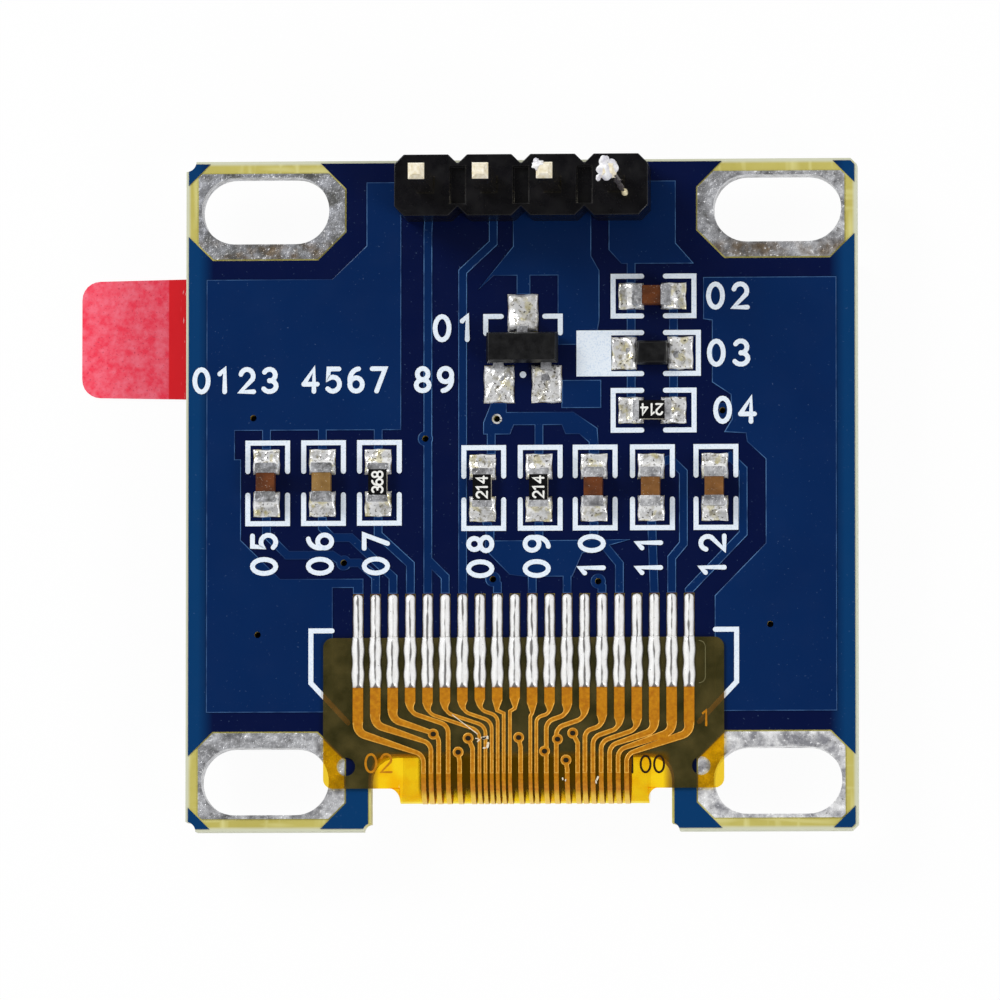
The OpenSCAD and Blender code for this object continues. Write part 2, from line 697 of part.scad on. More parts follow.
// Plated slot: a sleeve through the board with an eight-sided land on each face
module slot_plating(sx, sy) {
  module land() {
    intersection() {
      translate([sx * slot_spacing_x / 2, sy * slot_spacing_y / 2]) slot_land_plan();
      square([board_w - 2 * slot_land_edge, board_l - 2 * slot_land_edge], center = true);
    }
  }
  module at_slot() {
    translate([sx * slot_spacing_x / 2, sy * slot_spacing_y / 2]) children();
  }
  color([0.82, 0.82, 0.84]) difference() {
    union() {
      linear_extrude(land_z) land();
      translate([0, 0, back_z]) linear_extrude(board_t) at_slot() slot_plan(plating_t);
      translate([0, 0, back_z - land_z]) linear_extrude(land_z) land();
    }
    translate([0, 0, back_z - land_z - cut]) linear_extrude(board_t + 2 * (land_z + cut))
      at_slot() slot_plan();
  }
}

// --- Printed lines ---

// Two brackets round a part that lies along X, open in the middle of its long sides
module bracket_pair(length, width, gap) {
  for (s = [0, 180]) rotate(s)
    polygon(stroke([[gap / 2, width / 2], [length / 2, width / 2],
                    [length / 2, -width / 2], [gap / 2, -width / 2]], silk_w));
}

module print_plan() {
  frame_l = chip_land_l + 2 * frame_room;
  frame_w = chip_land_w + 2 * frame_room;
  diode_frame_l = diode_land_l + 2 * diode_room;
  diode_frame_w = diode_land_w + 2 * diode_room;
  inner = transistor_land_w / 2 + frame_room;
  outer = transistor_l / 2 + frame_shift;
  bracket_x = flex_w / 2 + flex_bracket_out;
  bracket_y = finger_y + frame_room;
  for (p = chips) at_chip([p.x + frame_shift, p.y, p[2]]) bracket_pair(frame_l, frame_w, frame_gap);
  // The diode's frame closes on a solid bar at its left end
  at_chip([diode.x + frame_shift, diode.y, 0]) {
    bracket_pair(diode_frame_l, diode_frame_w, frame_gap);
    translate([-diode_frame_l / 2 - diode_bar, -(diode_frame_w + silk_w) / 2])
      square([diode_bar, diode_frame_w + silk_w]);
  }
  translate([transistor_x, transistor_y]) {
    for (s = [-1, 1])
      polygon(stroke([[s * inner, transistor_span / 2], [s * outer, transistor_span / 2],
                      [s * outer, transistor_w / 2]], silk_w));
    translate([0, lead_grip - transistor_span / 2]) circle(pin_mark_r);
  }
  // Brackets that show where the flex goes
  for (s = [-1, 1])
    translate([flex_x, 0])
      polygon(stroke([[s * flex_side, bracket_y], [s * bracket_x, bracket_y],
                      [s * bracket_x, window_y + silk_w], [s * (bracket_x - 1.5), low + 4.35]], silk_w));
}

// The ink fills down to the mask beside a track and lies on the coat over it
module silkscreen() {
  color([0.88, 0.93, 0.97]) {
    translate([0, 0, copper_t]) linear_extrude(coat_t) difference() {
      print_plan();
      copper_plan(window_gap);
    }
    translate([0, 0, coat_z]) linear_extrude(silk_t) difference() {
      print_plan();
      open_lands(window_gap);
    }
  }
}

// --- Pin header ---

module header_body() {
  color([0.07, 0.07, 0.08]) translate([0, 0, coat_z]) difference() {
    linear_extrude(header_h) difference() {
      at_pins() eight_sided(pin_pitch / 2, header_w / 2, header_cut);
      at_pins() square(pin_side, center = true);
    }
    for (i = [1:pin_count - 1])
      translate([pin_x(i) - pin_pitch / 2, pin_y, header_h])
        cube([dip_w, dip_l, 2 * dip_depth], center = true);
  }
}

// A square pin whose ends taper on all four sides
module header_pin(i) {
  h = pin_side / 2;
  tip = h / 2;
  profile = [[-tip, -pin_tail], [tip, -pin_tail], [h, pin_taper - pin_tail], [h, pin_up - pin_taper],
             [tip, pin_up], [-tip, pin_up], [-h, pin_up - pin_taper], [-h, pin_taper - pin_tail]];
  color([0.83, 0.76, 0.6]) translate([pin_x(i), pin_y]) intersection() {
    rotate([90, 0, 0]) linear_extrude(pin_side, center = true) polygon(profile);
    rotate([90, 0, 90]) linear_extrude(pin_side, center = true) polygon(profile);
  }
}

module header_solder() {
  color([0.78, 0.78, 0.8]) at_pins() difference() {
    union() {
      translate([0, 0, back_z - land_z]) cylinder(r = pin_hole_r, h = board_t + land_z);
      translate([0, 0, back_z - land_z]) cylinder(r = pin_land_r, h = land_z);
      translate([0, 0, back_z - land_z - pin_solder_h])
        cylinder(r1 = pin_side * 0.6, r2 = pin_land_r - window_gap, h = pin_solder_h);
    }
    translate([0, 0, back_z / 2]) cube([pin_side, pin_side, 2 * (board_t + pin_tail)], center = true);
  }
}

// --- Chip parts ---

// Block between the two metal ends of a chip part, which the ends wrap round
module chip_core(height) {
  translate([0, 0, land_z + height / 2])
    cube([chip_l - 2 * end_wall, chip_w - 2 * end_wall, height - 2 * end_wall], center = true);
}

module chip_ends(height, end) {
  difference() {
    for (s = [-1, 1])
      translate([s * (chip_l - end) / 2, 0, land_z + height / 2]) cube([end, chip_w, height], center = true);
    chip_core(height);
  }
}

module capacitor(i) {
  tone = [[0.45, 0.26, 0.1], [0.5, 0.34, 0.15], [0.53, 0.38, 0.2],
          [0.6, 0.46, 0.25], [0.43, 0.25, 0.09], [0.45, 0.27, 0.1]];
  color(tone[i]) at_chip(capacitors[i]) chip_core(capacitor_h);
}

module capacitor_ends(i) {
  color([0.8, 0.8, 0.82]) at_chip(capacitors[i]) chip_ends(capacitor_h, capacitor_end);
}

module resistor(i) {
  color([0.88, 0.85, 0.76]) at_chip(resistors[i]) chip_core(resistor_h);
}

module resistor_ends(i) {
  color([0.8, 0.8, 0.82]) at_chip(resistors[i]) chip_ends(resistor_h, resistor_end);
}

// The black coat lies on top of the ceramic, between the metal ends
module resistor_cover(i) {
  color([0.06, 0.06, 0.07]) at_chip(resistors[i])
    translate([0, 0, land_z + resistor_h - end_wall + resistor_coat / 2])
      cube([chip_l - 2 * resistor_end, chip_w - 2 * end_wall, resistor_coat], center = true);
}

// --- Diode and transistor ---

// Moulded block that widens from both faces to its parting line at height part
module moulding(length, width, height, part, draft) {
  module side_view(l) {
    polygon([[-l / 2 + draft, 0], [l / 2 - draft, 0], [l / 2, part],
             [l / 2 - draft, height], [-l / 2 + draft, height], [-l / 2, part]]);
  }
  intersection() {
    rotate([90, 0, 0]) linear_extrude(width + cut, center = true) side_view(length);
    rotate([90, 0, 90]) linear_extrude(length + cut, center = true) side_view(width);
  }
}

module diode_body() {
  color([0.08, 0.08, 0.09]) at_chip(diode) translate([0, 0, land_z]) difference() {
    moulding(diode_l, diode_w, diode_h, diode_part_z, diode_draft);
    diode_lead_pair();
  }
}

module diode_lead_pair() {
  for (s = [-1, 1])
    translate([s * (diode_span - diode_lead_l) / 2, 0, lead_t / 2])
      cube([diode_lead_l, diode_lead_w, lead_t], center = true);
}

module diode_leads() {
  color([0.8, 0.8, 0.82]) at_chip(diode) translate([0, 0, land_z]) diode_lead_pair();
}

// Gull-wing lead seen from its side: y outwards, z up from the land
function gull_wing() =
  let(out = transistor_span / 2, root = transistor_w / 2 - lead_grip, knee = transistor_w / 2 + lead_reach)
  let(top = transistor_part_z + lead_t / 2)
  [[root, top - lead_t], [knee - lead_t / 2, top - lead_t], [knee, 0], [out, 0],
   [out, lead_t], [knee + lead_t, lead_t], [knee + lead_t / 2, top], [root, top]];

module transistor_lead_set() {
  at_transistor_leads() rotate([90, 0, 90]) linear_extrude(lead_w, center = true) polygon(gull_wing());
}

module transistor_body() {
  color([0.09, 0.09, 0.1]) translate([transistor_x, transistor_y, land_z]) difference() {
    translate([0, 0, transistor_gap])
      moulding(transistor_l, transistor_w, transistor_h,
               transistor_part_z - transistor_gap, transistor_draft);
    transistor_lead_set();
  }
}

module transistor_leads() {
  color([0.8, 0.8, 0.82]) translate([transistor_x, transistor_y, land_z]) transistor_lead_set();
}

// Solder wedge with a hollow face, against x = 0 and rising from z = 0
module fillet(reach, height, width) {
  rotate([90, 0, 0]) linear_extrude(width, center = true)
    polygon(concat([[0, 0]], [for (i = [0:arc_steps]) let(t = 90 * i / arc_steps)
      [reach * (1 - sin(t)), height * (1 - cos(t))]]));
}

module component_solder() {
  chip_reach = (chip_land_l - chip_l) / 2;
  diode_reach = (diode_land_l - diode_span) / 2;
  foot_reach = (transistor_land_span - transistor_span) / 2;
  color([0.78, 0.78, 0.8]) translate([0, 0, land_z]) {
    for (p = chips) at_chip(p) for (a = [0, 180])
      rotate(a) translate([chip_l / 2, 0, 0]) fillet(chip_reach, chip_solder_h, chip_w);
    at_chip(diode) for (a = [0, 180])
      rotate(a) translate([diode_span / 2, 0, 0]) fillet(diode_reach, lead_t, diode_lead_w * 2);
    translate([transistor_x, transistor_y]) at_transistor_leads() translate([0, transistor_span / 2])
      rotate(90) fillet(foot_reach, lead_t, lead_w * 1.5);
  }
}

// --- Flex ---

// Half a turn about the fold's axis of a profile drawn as [distance from the axis, x]
module round_the_fold() {
  translate([0, fold_cy, fold_cz]) rotate([90, 0, 90]) rotate(90) rotate_extrude(angle = 180) children();
}

module flex_film() {
  outer = fold_r - trace_t;
  lower_l = glass_low + bond_l - fold_cy;
  color([0.85, 0.6, 0.1]) translate([flex_x, 0, 0]) {
    // The sheet lies flat on the board; its shoulders end beside the start of the neck
    translate([0, 0, flex_z]) linear_extrude(film_t) difference() {
      polygon(rounded(
        [[flex_w / 2, shoulder_y], [flex_w / 2, finger_y],
         [-flex_w / 2, finger_y], [-flex_w / 2, shoulder_y]],
        [flex_r, flex_r, flex_r, flex_r]
      ));
      translate([-neck_w / 2, shoulder_y - cut]) square([neck_w, fold_cy - shoulder_y + cut]);
      for (s = [-1, 1]) translate([s * (flex_w / 2 - tooling_edge), tooling_y]) circle(tooling_r);
    }
    round_the_fold() translate([outer - film_t, -neck_w / 2]) square([film_t, neck_w]);
    translate([-neck_w / 2, fold_cy, ledge_z + trace_t]) cube([neck_w, lower_l, film_t]);
  }
}

// Width and x at the fold of every conductor
fold_lines = concat(
  [for (i = [0:len(fan) - 1]) [fan[i][0], narrow[i] ? narrow_w : trace_w]],
  [for (l = loose) [l[0], trace_w]]
);

module trace_plan() {
  count = min(finger_count, len(fan));
  for (i = [0:count - 1]) {
    x = finger_place(i);
    knee = low + fan[i][1];
    shift = abs(fan[i][0] - x);
    landing = knee - max(fan_slope * shift, fan_drop);
    w = fold_lines[i][1];
    // Fingers near the sides of the flex narrow slowly, along their slanting stretch
    from_side = min(i, count - 1 - i);
    reach = from_side < len(fan_reach) ? fan_reach[from_side] : -narrow_end;
    bend_r = shift > 2 * w ? min(fan_r, shift / 2) : 0;
    bends = [[x, knee + fan_taper], [x, knee], [fan[i][0], landing], [fan[i][0], fold_cy]];
    path = concat([[x, finger_y]], eased(bends, bend_r));
    polygon(strip(path, [for (q = path)
      w + (finger_w - w) * max(0, min(1, (q.y - knee + reach) / (fan_taper + reach)))]));
  }
  for (l = loose) {
    y = low + l[2];
    polygon(line([[l[1], y], [l[0], y - loose_drop], [l[0], fold_cy]], trace_w));
    translate([l[1], y]) circle(flex_ring_r);
  }
  for (r = fan_rings) translate([r.x, low + r.y]) circle(flex_ring_r);
}

module flex_traces() {
  color([0.85, 0.55, 0.12]) translate([flex_x, 0, 0]) {
    translate([0, 0, trace_z]) linear_extrude(trace_t) difference() {
      trace_plan();
      for (l = loose) translate([l[1], low + l[2]]) circle(flex_ring_hole);
      for (r = fan_rings) translate([r.x, low + r.y]) circle(flex_ring_hole);
    }
    round_the_fold() for (f = fold_lines)
      translate([fold_r - trace_t, f[0] - f[1] / 2]) square([trace_t, f[1]]);
    for (f = fold_lines)
      translate([f[0] - f[1] / 2, fold_cy, ledge_z]) cube([f[1], glass_low + bond_l - fold_cy, trace_t]);
  }
}

module flex_joints() {
  color([0.78, 0.78, 0.8]) for (i = [0:finger_count - 1])
    translate([finger_x(i) - finger_land_w / 2, window_y, land_z]) cube([finger_land_w, finger_l, joint_t]);
}

// Solder on each finger, high in the middle and running out along its length
module finger_solder() {
  w = finger_w / 2;
  color([0.8, 0.8, 0.82]) for (i = [0:finger_count - 1])
    translate([finger_x(i), finger_y, trace_z + trace_t]) rotate([90, 0, 0]) linear_extrude(finger_l)
      polygon([[-w, 0], [w, 0], [w / 2, finger_solder_h], [-w / 2, finger_solder_h]]);
}

// --- Display ---

module display_glass() {
  color([0.16, 0.2, 0.22]) translate([0, glass_y, glass_z + glass_t / 2])
    cube([glass_w, glass_l, glass_t], center = true);
}

// Cover glass with a shallow hollow over the pixels
module cover_glass() {
  w = glass_w - 2 * cover_inset;
  color([0.2, 0.24, 0.26]) translate([0, cover_y, seal_z]) difference() {
    translate([0, 0, cover_t / 2]) cube([w, cover_l, cover_t], center = true);
    cube([w - 2 * seal_w, cover_l - 2 * seal_w, 2 * cover_hollow], center = true);
  }
}

module display_seal() {
  w = glass_w - 2 * cover_inset;
  color([0.7, 0.7, 0.6]) translate([0, cover_y, ledge_z]) linear_extrude(seal_t) difference() {
    square([w, cover_l], center = true);
    square([w - 2 * seal_w, cover_l - 2 * seal_w], center = true);
  }
}

module drying_sheet() {
  margin = seal_w + dryer_room;
  color([0.9, 0.9, 0.88]) translate([0, cover_y, seal_z + cover_hollow - dryer_t / 2])
    cube([glass_w - 2 * (cover_inset + margin), cover_l - 2 * margin, dryer_t], center = true);
}

module pixel_layers() {
  color([0.3, 0.3, 0.34]) translate([0, cover_y, ledge_z + matrix_t / 2])
    cube([matrix_w, matrix_l, matrix_t], center = true);
}

module driver_chip() {
  room = ledge - bond_l;
  color([0.35, 0.36, 0.4]) translate([0, glass_low + bond_l + room / 2, ledge_z + driver_h / 2])
    cube([driver_l, driver_w, driver_h], center = true);
}

module polarizer() {
  color([0.05, 0.05, 0.06]) translate([0, cover_y, polarizer_z + polarizer_t / 2])
    cube([glass_w - 2 * polarizer_inset, cover_l, polarizer_t], center = true);
}

module protective_film() {
  color([0.75, 0.82, 0.9, 0.5]) translate([0, cover_y, film_low_z + cover_film_t / 2])
    cube([glass_w - polarizer_inset, cover_l, cover_film_t], center = true);
}

// The tab grips the protective film and sticks out past the board's left edge
module pull_tab() {
  grip = -glass_w / 2 + tab_in;
  tip = left - tab_out;
  w = tab_w / 2;
  color([0.98, 0.33, 0.4]) translate([0, tab_y, film_low_z - tab_t]) linear_extrude(tab_t)
    polygon(rounded(
      [[tip, w - tab_slope], [tip, tab_slope - w], [grip, -w], [grip, w]],
      [tab_r, tab_r, 0, 0]
    ));
}

module adhesive_tape() {
  color([0.93, 0.93, 0.9]) translate([0, cover_y, cover_z + tape_t / 2])
    cube([glass_w - 2 * (cover_inset + tape_inset), cover_l - 2 * tape_inset, tape_t], center = true);
}

// --- Nodes ---

board_core();
copper_back();
land_tinning();
solder_mask_back();
solder_mask_front();
silkscreen();
for (i = [0:3])
  slot_plating(slot_sides[i].x, slot_sides[i].y);
header_body();
for (i = [0:pin_count - 1])
  header_pin(i);
header_solder();
for (i = [0:len(capacitors) - 1]) {
  capacitor(i);
  capacitor_ends(i);
}
for (i = [0:len(resistors) - 1]) {
  resistor(i);
  resistor_ends(i);
  resistor_cover(i);
}
diode_body();
diode_leads();
transistor_body();
transistor_leads();
component_solder();
flex_film();
flex_traces();
flex_joints();
finger_solder();
display_glass();
cover_glass();
display_seal();
drying_sheet();
pixel_layers();
driver_chip();
polarizer();
protective_film();
pull_tab();
adhesive_tape();
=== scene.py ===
"""Dresses the small display module: finishes, lumpy solder, printed numbers and the set."""

import json
import math

import bmesh
import bpy
import numpy as np
from mathutils import Matrix, Vector

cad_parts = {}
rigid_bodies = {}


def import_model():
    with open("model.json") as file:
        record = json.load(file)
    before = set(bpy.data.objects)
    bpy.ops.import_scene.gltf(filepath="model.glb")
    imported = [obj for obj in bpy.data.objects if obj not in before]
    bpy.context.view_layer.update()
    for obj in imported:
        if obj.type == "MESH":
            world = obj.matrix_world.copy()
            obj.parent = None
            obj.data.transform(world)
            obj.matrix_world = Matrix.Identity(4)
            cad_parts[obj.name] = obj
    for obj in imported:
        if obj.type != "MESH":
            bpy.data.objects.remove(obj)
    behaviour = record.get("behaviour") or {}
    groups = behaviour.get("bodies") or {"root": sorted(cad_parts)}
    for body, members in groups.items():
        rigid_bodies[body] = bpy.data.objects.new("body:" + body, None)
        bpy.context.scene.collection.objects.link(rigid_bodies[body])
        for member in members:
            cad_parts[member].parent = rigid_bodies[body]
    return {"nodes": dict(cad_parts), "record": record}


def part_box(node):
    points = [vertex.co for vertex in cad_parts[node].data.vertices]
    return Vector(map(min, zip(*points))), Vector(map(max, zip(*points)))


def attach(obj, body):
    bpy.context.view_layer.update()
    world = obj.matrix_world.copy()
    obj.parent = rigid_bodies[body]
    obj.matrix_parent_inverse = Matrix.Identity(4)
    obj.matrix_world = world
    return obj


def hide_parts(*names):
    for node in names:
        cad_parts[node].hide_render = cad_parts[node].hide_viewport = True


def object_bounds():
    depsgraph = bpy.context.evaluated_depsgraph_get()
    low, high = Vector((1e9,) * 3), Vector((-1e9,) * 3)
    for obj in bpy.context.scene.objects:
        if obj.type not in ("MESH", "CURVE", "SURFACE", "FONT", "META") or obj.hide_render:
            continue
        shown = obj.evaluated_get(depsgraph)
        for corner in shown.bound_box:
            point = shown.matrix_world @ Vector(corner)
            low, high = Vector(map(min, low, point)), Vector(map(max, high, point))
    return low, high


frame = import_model()
cad_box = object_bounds()
nodes = frame["nodes"]
MM = 0.001

# --- Sizes and places that the scene shares, in millimetres ---
CAMERA_EYE = (31, -38, 500)
CAMERA_TARGET = (-0.85, -0.21, 0)
VIEW_WIDTH = 40.14
FINGER_COUNT = 20
FINGER_PITCH = 0.7
SLOT_LAND_CUT = 1.1
CHIP_LAND_SPAN = 2.65
CHIP_LAND = (0.95, 1.0)
DIODE_LAND_SPAN = 3.2
DIODE_LAND = (0.95, 1.25)
TRANSISTOR_LAND_SPAN = 4.3
TRANSISTOR_LAND = (1.45, 1.15)
TRANSISTOR_LEADS = 1.92
COAT_TOP = 0.06
INK = 0.02
THIN_MARK = 0.004
RIM_WIDTH = 0.045
RIM_LIFT = 0.004
RIM_ROOT = 0.002
SOLDER_OVERLAP = 0.03
WELD = 0.0001

# Material slot of each CAD piece
SLOTS = {part["node"]: part.get("material_slot") or part.get("slot") for part in frame["record"]["subparts"]}


def middle(node):
    """Middle of a CAD node's box, in millimetres."""
    low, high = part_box(node)
    return (Vector(low) + Vector(high)) / 2 / MM


def top_of(node):
    """Height of a CAD piece's top, in millimetres."""
    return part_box(node)[1][2] / MM


# --- Camera ---
def set_camera():
    """Camera high over the board, a little to its right and towards its lower edge."""
    eye = Vector(CAMERA_EYE) * MM
    target = Vector(CAMERA_TARGET) * MM
    camera = bpy.data.objects.new("camera", bpy.data.cameras.new("camera"))
    bpy.context.scene.collection.objects.link(camera)
    camera.location = eye
    camera.rotation_mode = "QUATERNION"
    back = (eye - target).normalized()
    right = Vector((0, 1, 0)).cross(back).normalized()
    camera.rotation_quaternion = Matrix((right, back.cross(right), back)).transposed().to_quaternion()
    camera.data.lens = camera.data.sensor_width * (eye - target).length / (VIEW_WIDTH * MM)
    camera.data.clip_start, camera.data.clip_end = 0.01, 10
    bpy.context.scene.camera = camera


set_camera()


# --- Finishes ---
def rgb(red, green, blue):
    """Linear colour from the 0 to 255 values of a paint chart."""
    def linear(v):
        v /= 255
        return v / 12.92 if v <= 0.04045 else ((v + 0.055) / 1.055) ** 2.4
    return (linear(red), linear(green), linear(blue), 1)


class Nodes:
    """A node tree in the making: each node comes with its settings and with what feeds it."""

    def __init__(self, tree):
        self.tree = tree

    def add(self, kind, inputs=None, **settings):
        node = self.tree.nodes.new(kind)
        for key, value in settings.items():
            setattr(node, key, value)
        for key, value in (inputs or {}).items():
            self.feed(node.inputs[key], value)
        return node

    def feed(self, socket, value):
        if isinstance(value, bpy.types.NodeSocket):
            self.tree.links.new(value, socket)
        else:
            socket.default_value = value

    def math(self, operation, a, b=0.0, c=0.0):
        return self.add("ShaderNodeMath", {0: a, 1: b, 2: c}, operation=operation).outputs[0]

    def times(self, a, b):
        return self.math("MULTIPLY", a, b)

    def minus(self, a, b):
        return self.math("SUBTRACT", a, b)


class Finish(Nodes):
    """A material in the making: a Principled shader and the nodes that feed it."""

    def __init__(self, name, **values):
        self.material = bpy.data.materials.new(name)
        self.material.use_nodes = True
        super().__init__(self.material.node_tree)
        self.shader = self.tree.nodes["Principled BSDF"]
        self.place = self.add("ShaderNodeTexCoord").outputs["Object"]
        self.set(**values)

    def set(self, **values):
        for socket, value in values.items():
            self.feed(self.shader.inputs[socket.replace("_", " ")], value)
        return self

    def stretched(self, x, y, z):
        """Object coordinates squeezed so that a pattern grows along an axis."""
        return self.add("ShaderNodeMapping", {"Vector": self.place, "Scale": (x, y, z)}).outputs["Vector"]

    def noise(self, size, detail=2.0, place=None, rough=0.5):
        """Noise from 0 to 1 whose spots are about size millimetres wide."""
        node = self.add("ShaderNodeTexNoise", {"Vector": place or self.place, "Scale": 1 / (size * MM),
                                               "Detail": detail, "Roughness": rough})
        return node.outputs["Fac"]

    def axis(self, name):
        return self.add("ShaderNodeSeparateXYZ", {"Vector": self.place}).outputs[name]

    def step(self, value, start, end, low=0.0, high=1.0):
        """Value mapped from start..end to low..high, clamped."""
        return self.add("ShaderNodeMapRange", {"Value": value, "From Min": start, "From Max": end,
                                               "To Min": low, "To Max": high}).outputs["Result"]

    def mix(self, factor, a, b):
        return self.add("ShaderNodeMix", {0: factor, 6: a, 7: b}, data_type="RGBA").outputs[2]

    def bump(self, height, strength, distance):
        inputs = {"Height": height, "Strength": strength, "Distance": distance * MM}
        return self.add("ShaderNodeBump", inputs).outputs["Normal"]

    def see_through(self, tint, share):
        """Lets light through in the given tint, but for the share that stays with the face itself."""
        clear = self.add("ShaderNodeBsdfTransparent", {"Color": tint}).outputs[0]
        blend = self.add("ShaderNodeMixShader", {0: share, 1: clear, 2: self.shader.outputs[0]})
        self.feed(self.tree.nodes["Material Output"].inputs["Surface"], blend.outputs[0])
        return self.material


def laminate_finish():
    f = Finish("laminate", Roughness=0.5)
    warp = f.noise(0.35, 1, f.stretched(1, 0.12, 1))
    weft = f.noise(0.35, 1, f.stretched(0.12, 1, 1))
    weave = f.math("MAXIMUM", warp, weft)
    tone = f.mix(f.noise(2.5), rgb(176, 164, 74), rgb(204, 194, 104))
    pale = f.mix(f.step(weave, 0.55, 0.8), tone, rgb(218, 212, 140))
    # The sawn edges are paler than the face
    far = f.math("MAXIMUM", f.math("ABSOLUTE", f.axis("X")), f.math("ABSOLUTE", f.axis("Y")))
    pale = f.mix(f.step(far, 13.3 * MM, 13.42 * MM), pale, rgb(206, 208, 182))
    return f.set(Base_Color=pale, Roughness=f.step(f.noise(0.3), 0.3, 0.7, 0.4, 0.65),
                 Normal=f.bump(weave, 0.3, 0.02)).material


def over_copper_blue(f):
    """Blue of the mask where copper lies under it."""
    return f.mix(f.noise(6, 3), rgb(4, 31, 76), rgb(6, 42, 92))


def solder_mask_finish():
    f = Finish("solder_mask", Specular_IOR_Level=0.22)
    over_copper = f.step(f.axis("Z"), 0.04 * MM, 0.05 * MM)
    # Bare laminate shines through the mask near the sides and beside the notch
    side = f.step(f.math("ABSOLUTE", f.axis("X")), 12.4 * MM, 13.0 * MM)
    foot = f.step(f.axis("Y"), -11.2 * MM, -11.5 * MM)
    lower = f.mix(f.math("MAXIMUM", side, foot), rgb(4, 16, 58), rgb(7, 56, 104))
    colour = f.mix(over_copper, lower, over_copper_blue(f))
    dust = f.step(f.noise(0.09, 3), 0.70, 0.76, 0.0, 0.22)
    colour = f.mix(dust, colour, rgb(120, 150, 190))
    return f.set(Base_Color=colour, Roughness=f.step(f.noise(1.2, 4), 0.3, 0.7, 0.14, 0.26),
                 Normal=f.bump(f.noise(0.5, 3), 0.12, 0.02)).material


def track_rim_finish():
    """Mask drawn thin over the edges of the tracks, with a painted highlight where an edge faces sideways."""
    f = Finish("track_rim", Roughness=0.3, Specular_IOR_Level=0.25)
    facing = f.add("ShaderNodeAttribute", attribute_name="sideways").outputs["Fac"]
    # Painted highlight: the rim is painted light blue in patches where it faces sideways
    lit = f.times(f.step(facing, 0.4, 0.95), f.step(f.noise(0.8, 3), 0.36, 0.56, 0.2, 1.0))
    return f.set(Base_Color=f.mix(lit, over_copper_blue(f), rgb(74, 116, 164))).material


def printed_ink_finish():
    f = Finish("printed_ink", Roughness=0.45)
    grain = f.noise(0.06, 4)
    colour = f.mix(f.step(grain, 0.3, 0.5), rgb(206, 222, 240), rgb(234, 243, 252))
    return f.set(Base_Color=colour, Normal=f.bump(grain, 0.25, 0.01)).material


def slot_tin_finish():
    f = Finish("slot_tin")
    cloud = f.noise(0.8, 5, rough=0.65)
    scratch = f.noise(0.05, 3, f.stretched(1, 0.15, 1))
    # Painted light: the tin is painted lighter and less metallic towards the lower right of the board
    across = f.step(f.minus(f.axis("X"), f.axis("Y")), -16 * MM, 22 * MM)
    dull = f.mix(across, rgb(120, 120, 118), rgb(150, 150, 156))
    colour = f.mix(f.step(cloud, 0.38, 0.6), dull, f.mix(across, rgb(192, 194, 200), rgb(255, 255, 255)))
    colour = f.mix(f.step(f.noise(0.16, 4), 0.62, 0.72, 0.0, 0.6), colour, rgb(96, 92, 84))
    # A brown stain lies on the two upper lands, below their slots
    stain = f.times(f.step(f.axis("Y"), 10.35 * MM, 10.0 * MM),
                   f.step(f.axis("Y"), 9.35 * MM, 9.65 * MM))
    brown = f.times(stain, f.step(f.noise(0.6, 3), 0.42, 0.62, 0.0, 0.75))
    colour = f.mix(brown, colour, rgb(120, 98, 66))
    colour = f.mix(f.step(f.noise(0.1, 2), 0.66, 0.7), colour, rgb(255, 255, 255))
    rough = f.step(f.noise(0.25, 4), 0.3, 0.7, 0.18, 0.5)
    relief = f.math("ADD", f.math("ADD", cloud, f.times(scratch, 0.3)), f.noise(0.12, 2))
    return f.set(Base_Color=colour, Metallic=f.step(across, 0.3, 1, 0.65, 0.35), Roughness=rough,
                 Normal=f.bump(relief, 0.6, 0.05)).material


def solder_finish():
    """Bright solder with yellow flux left in its hollows and dark specks of painted shade in its crevices."""
    f = Finish("solder", Metallic=0.45)
    cloud = f.noise(0.24, 3)
    colour = f.mix(f.step(cloud, 0.3, 0.5), rgb(186, 180, 160), rgb(255, 255, 254))
    colour = f.mix(f.step(f.noise(0.45, 2), 0.56, 0.64, 0.0, 0.5), colour, rgb(226, 212, 130))
    # Painted shade: dark specks stand in for the shade in the solder's crevices
    colour = f.mix(f.step(f.noise(0.1, 4), 0.60, 0.65, 0.0, 0.9), colour, rgb(52, 42, 28))
    return f.set(Base_Color=colour, Roughness=f.step(cloud, 0.3, 0.7, 0.08, 0.22),
                 Normal=f.bump(f.noise(0.2, 3), 0.7, 0.06)).material


def painted_land_shade_finish():
    """Flat tinned copper, painted dark so that it shows as a line of painted shade round the solder."""
    f = Finish("bare_land", Metallic=0.5, Roughness=0.4)
    return f.set(Base_Color=f.mix(f.noise(0.2, 3), rgb(44, 38, 34), rgb(92, 82, 62))).material


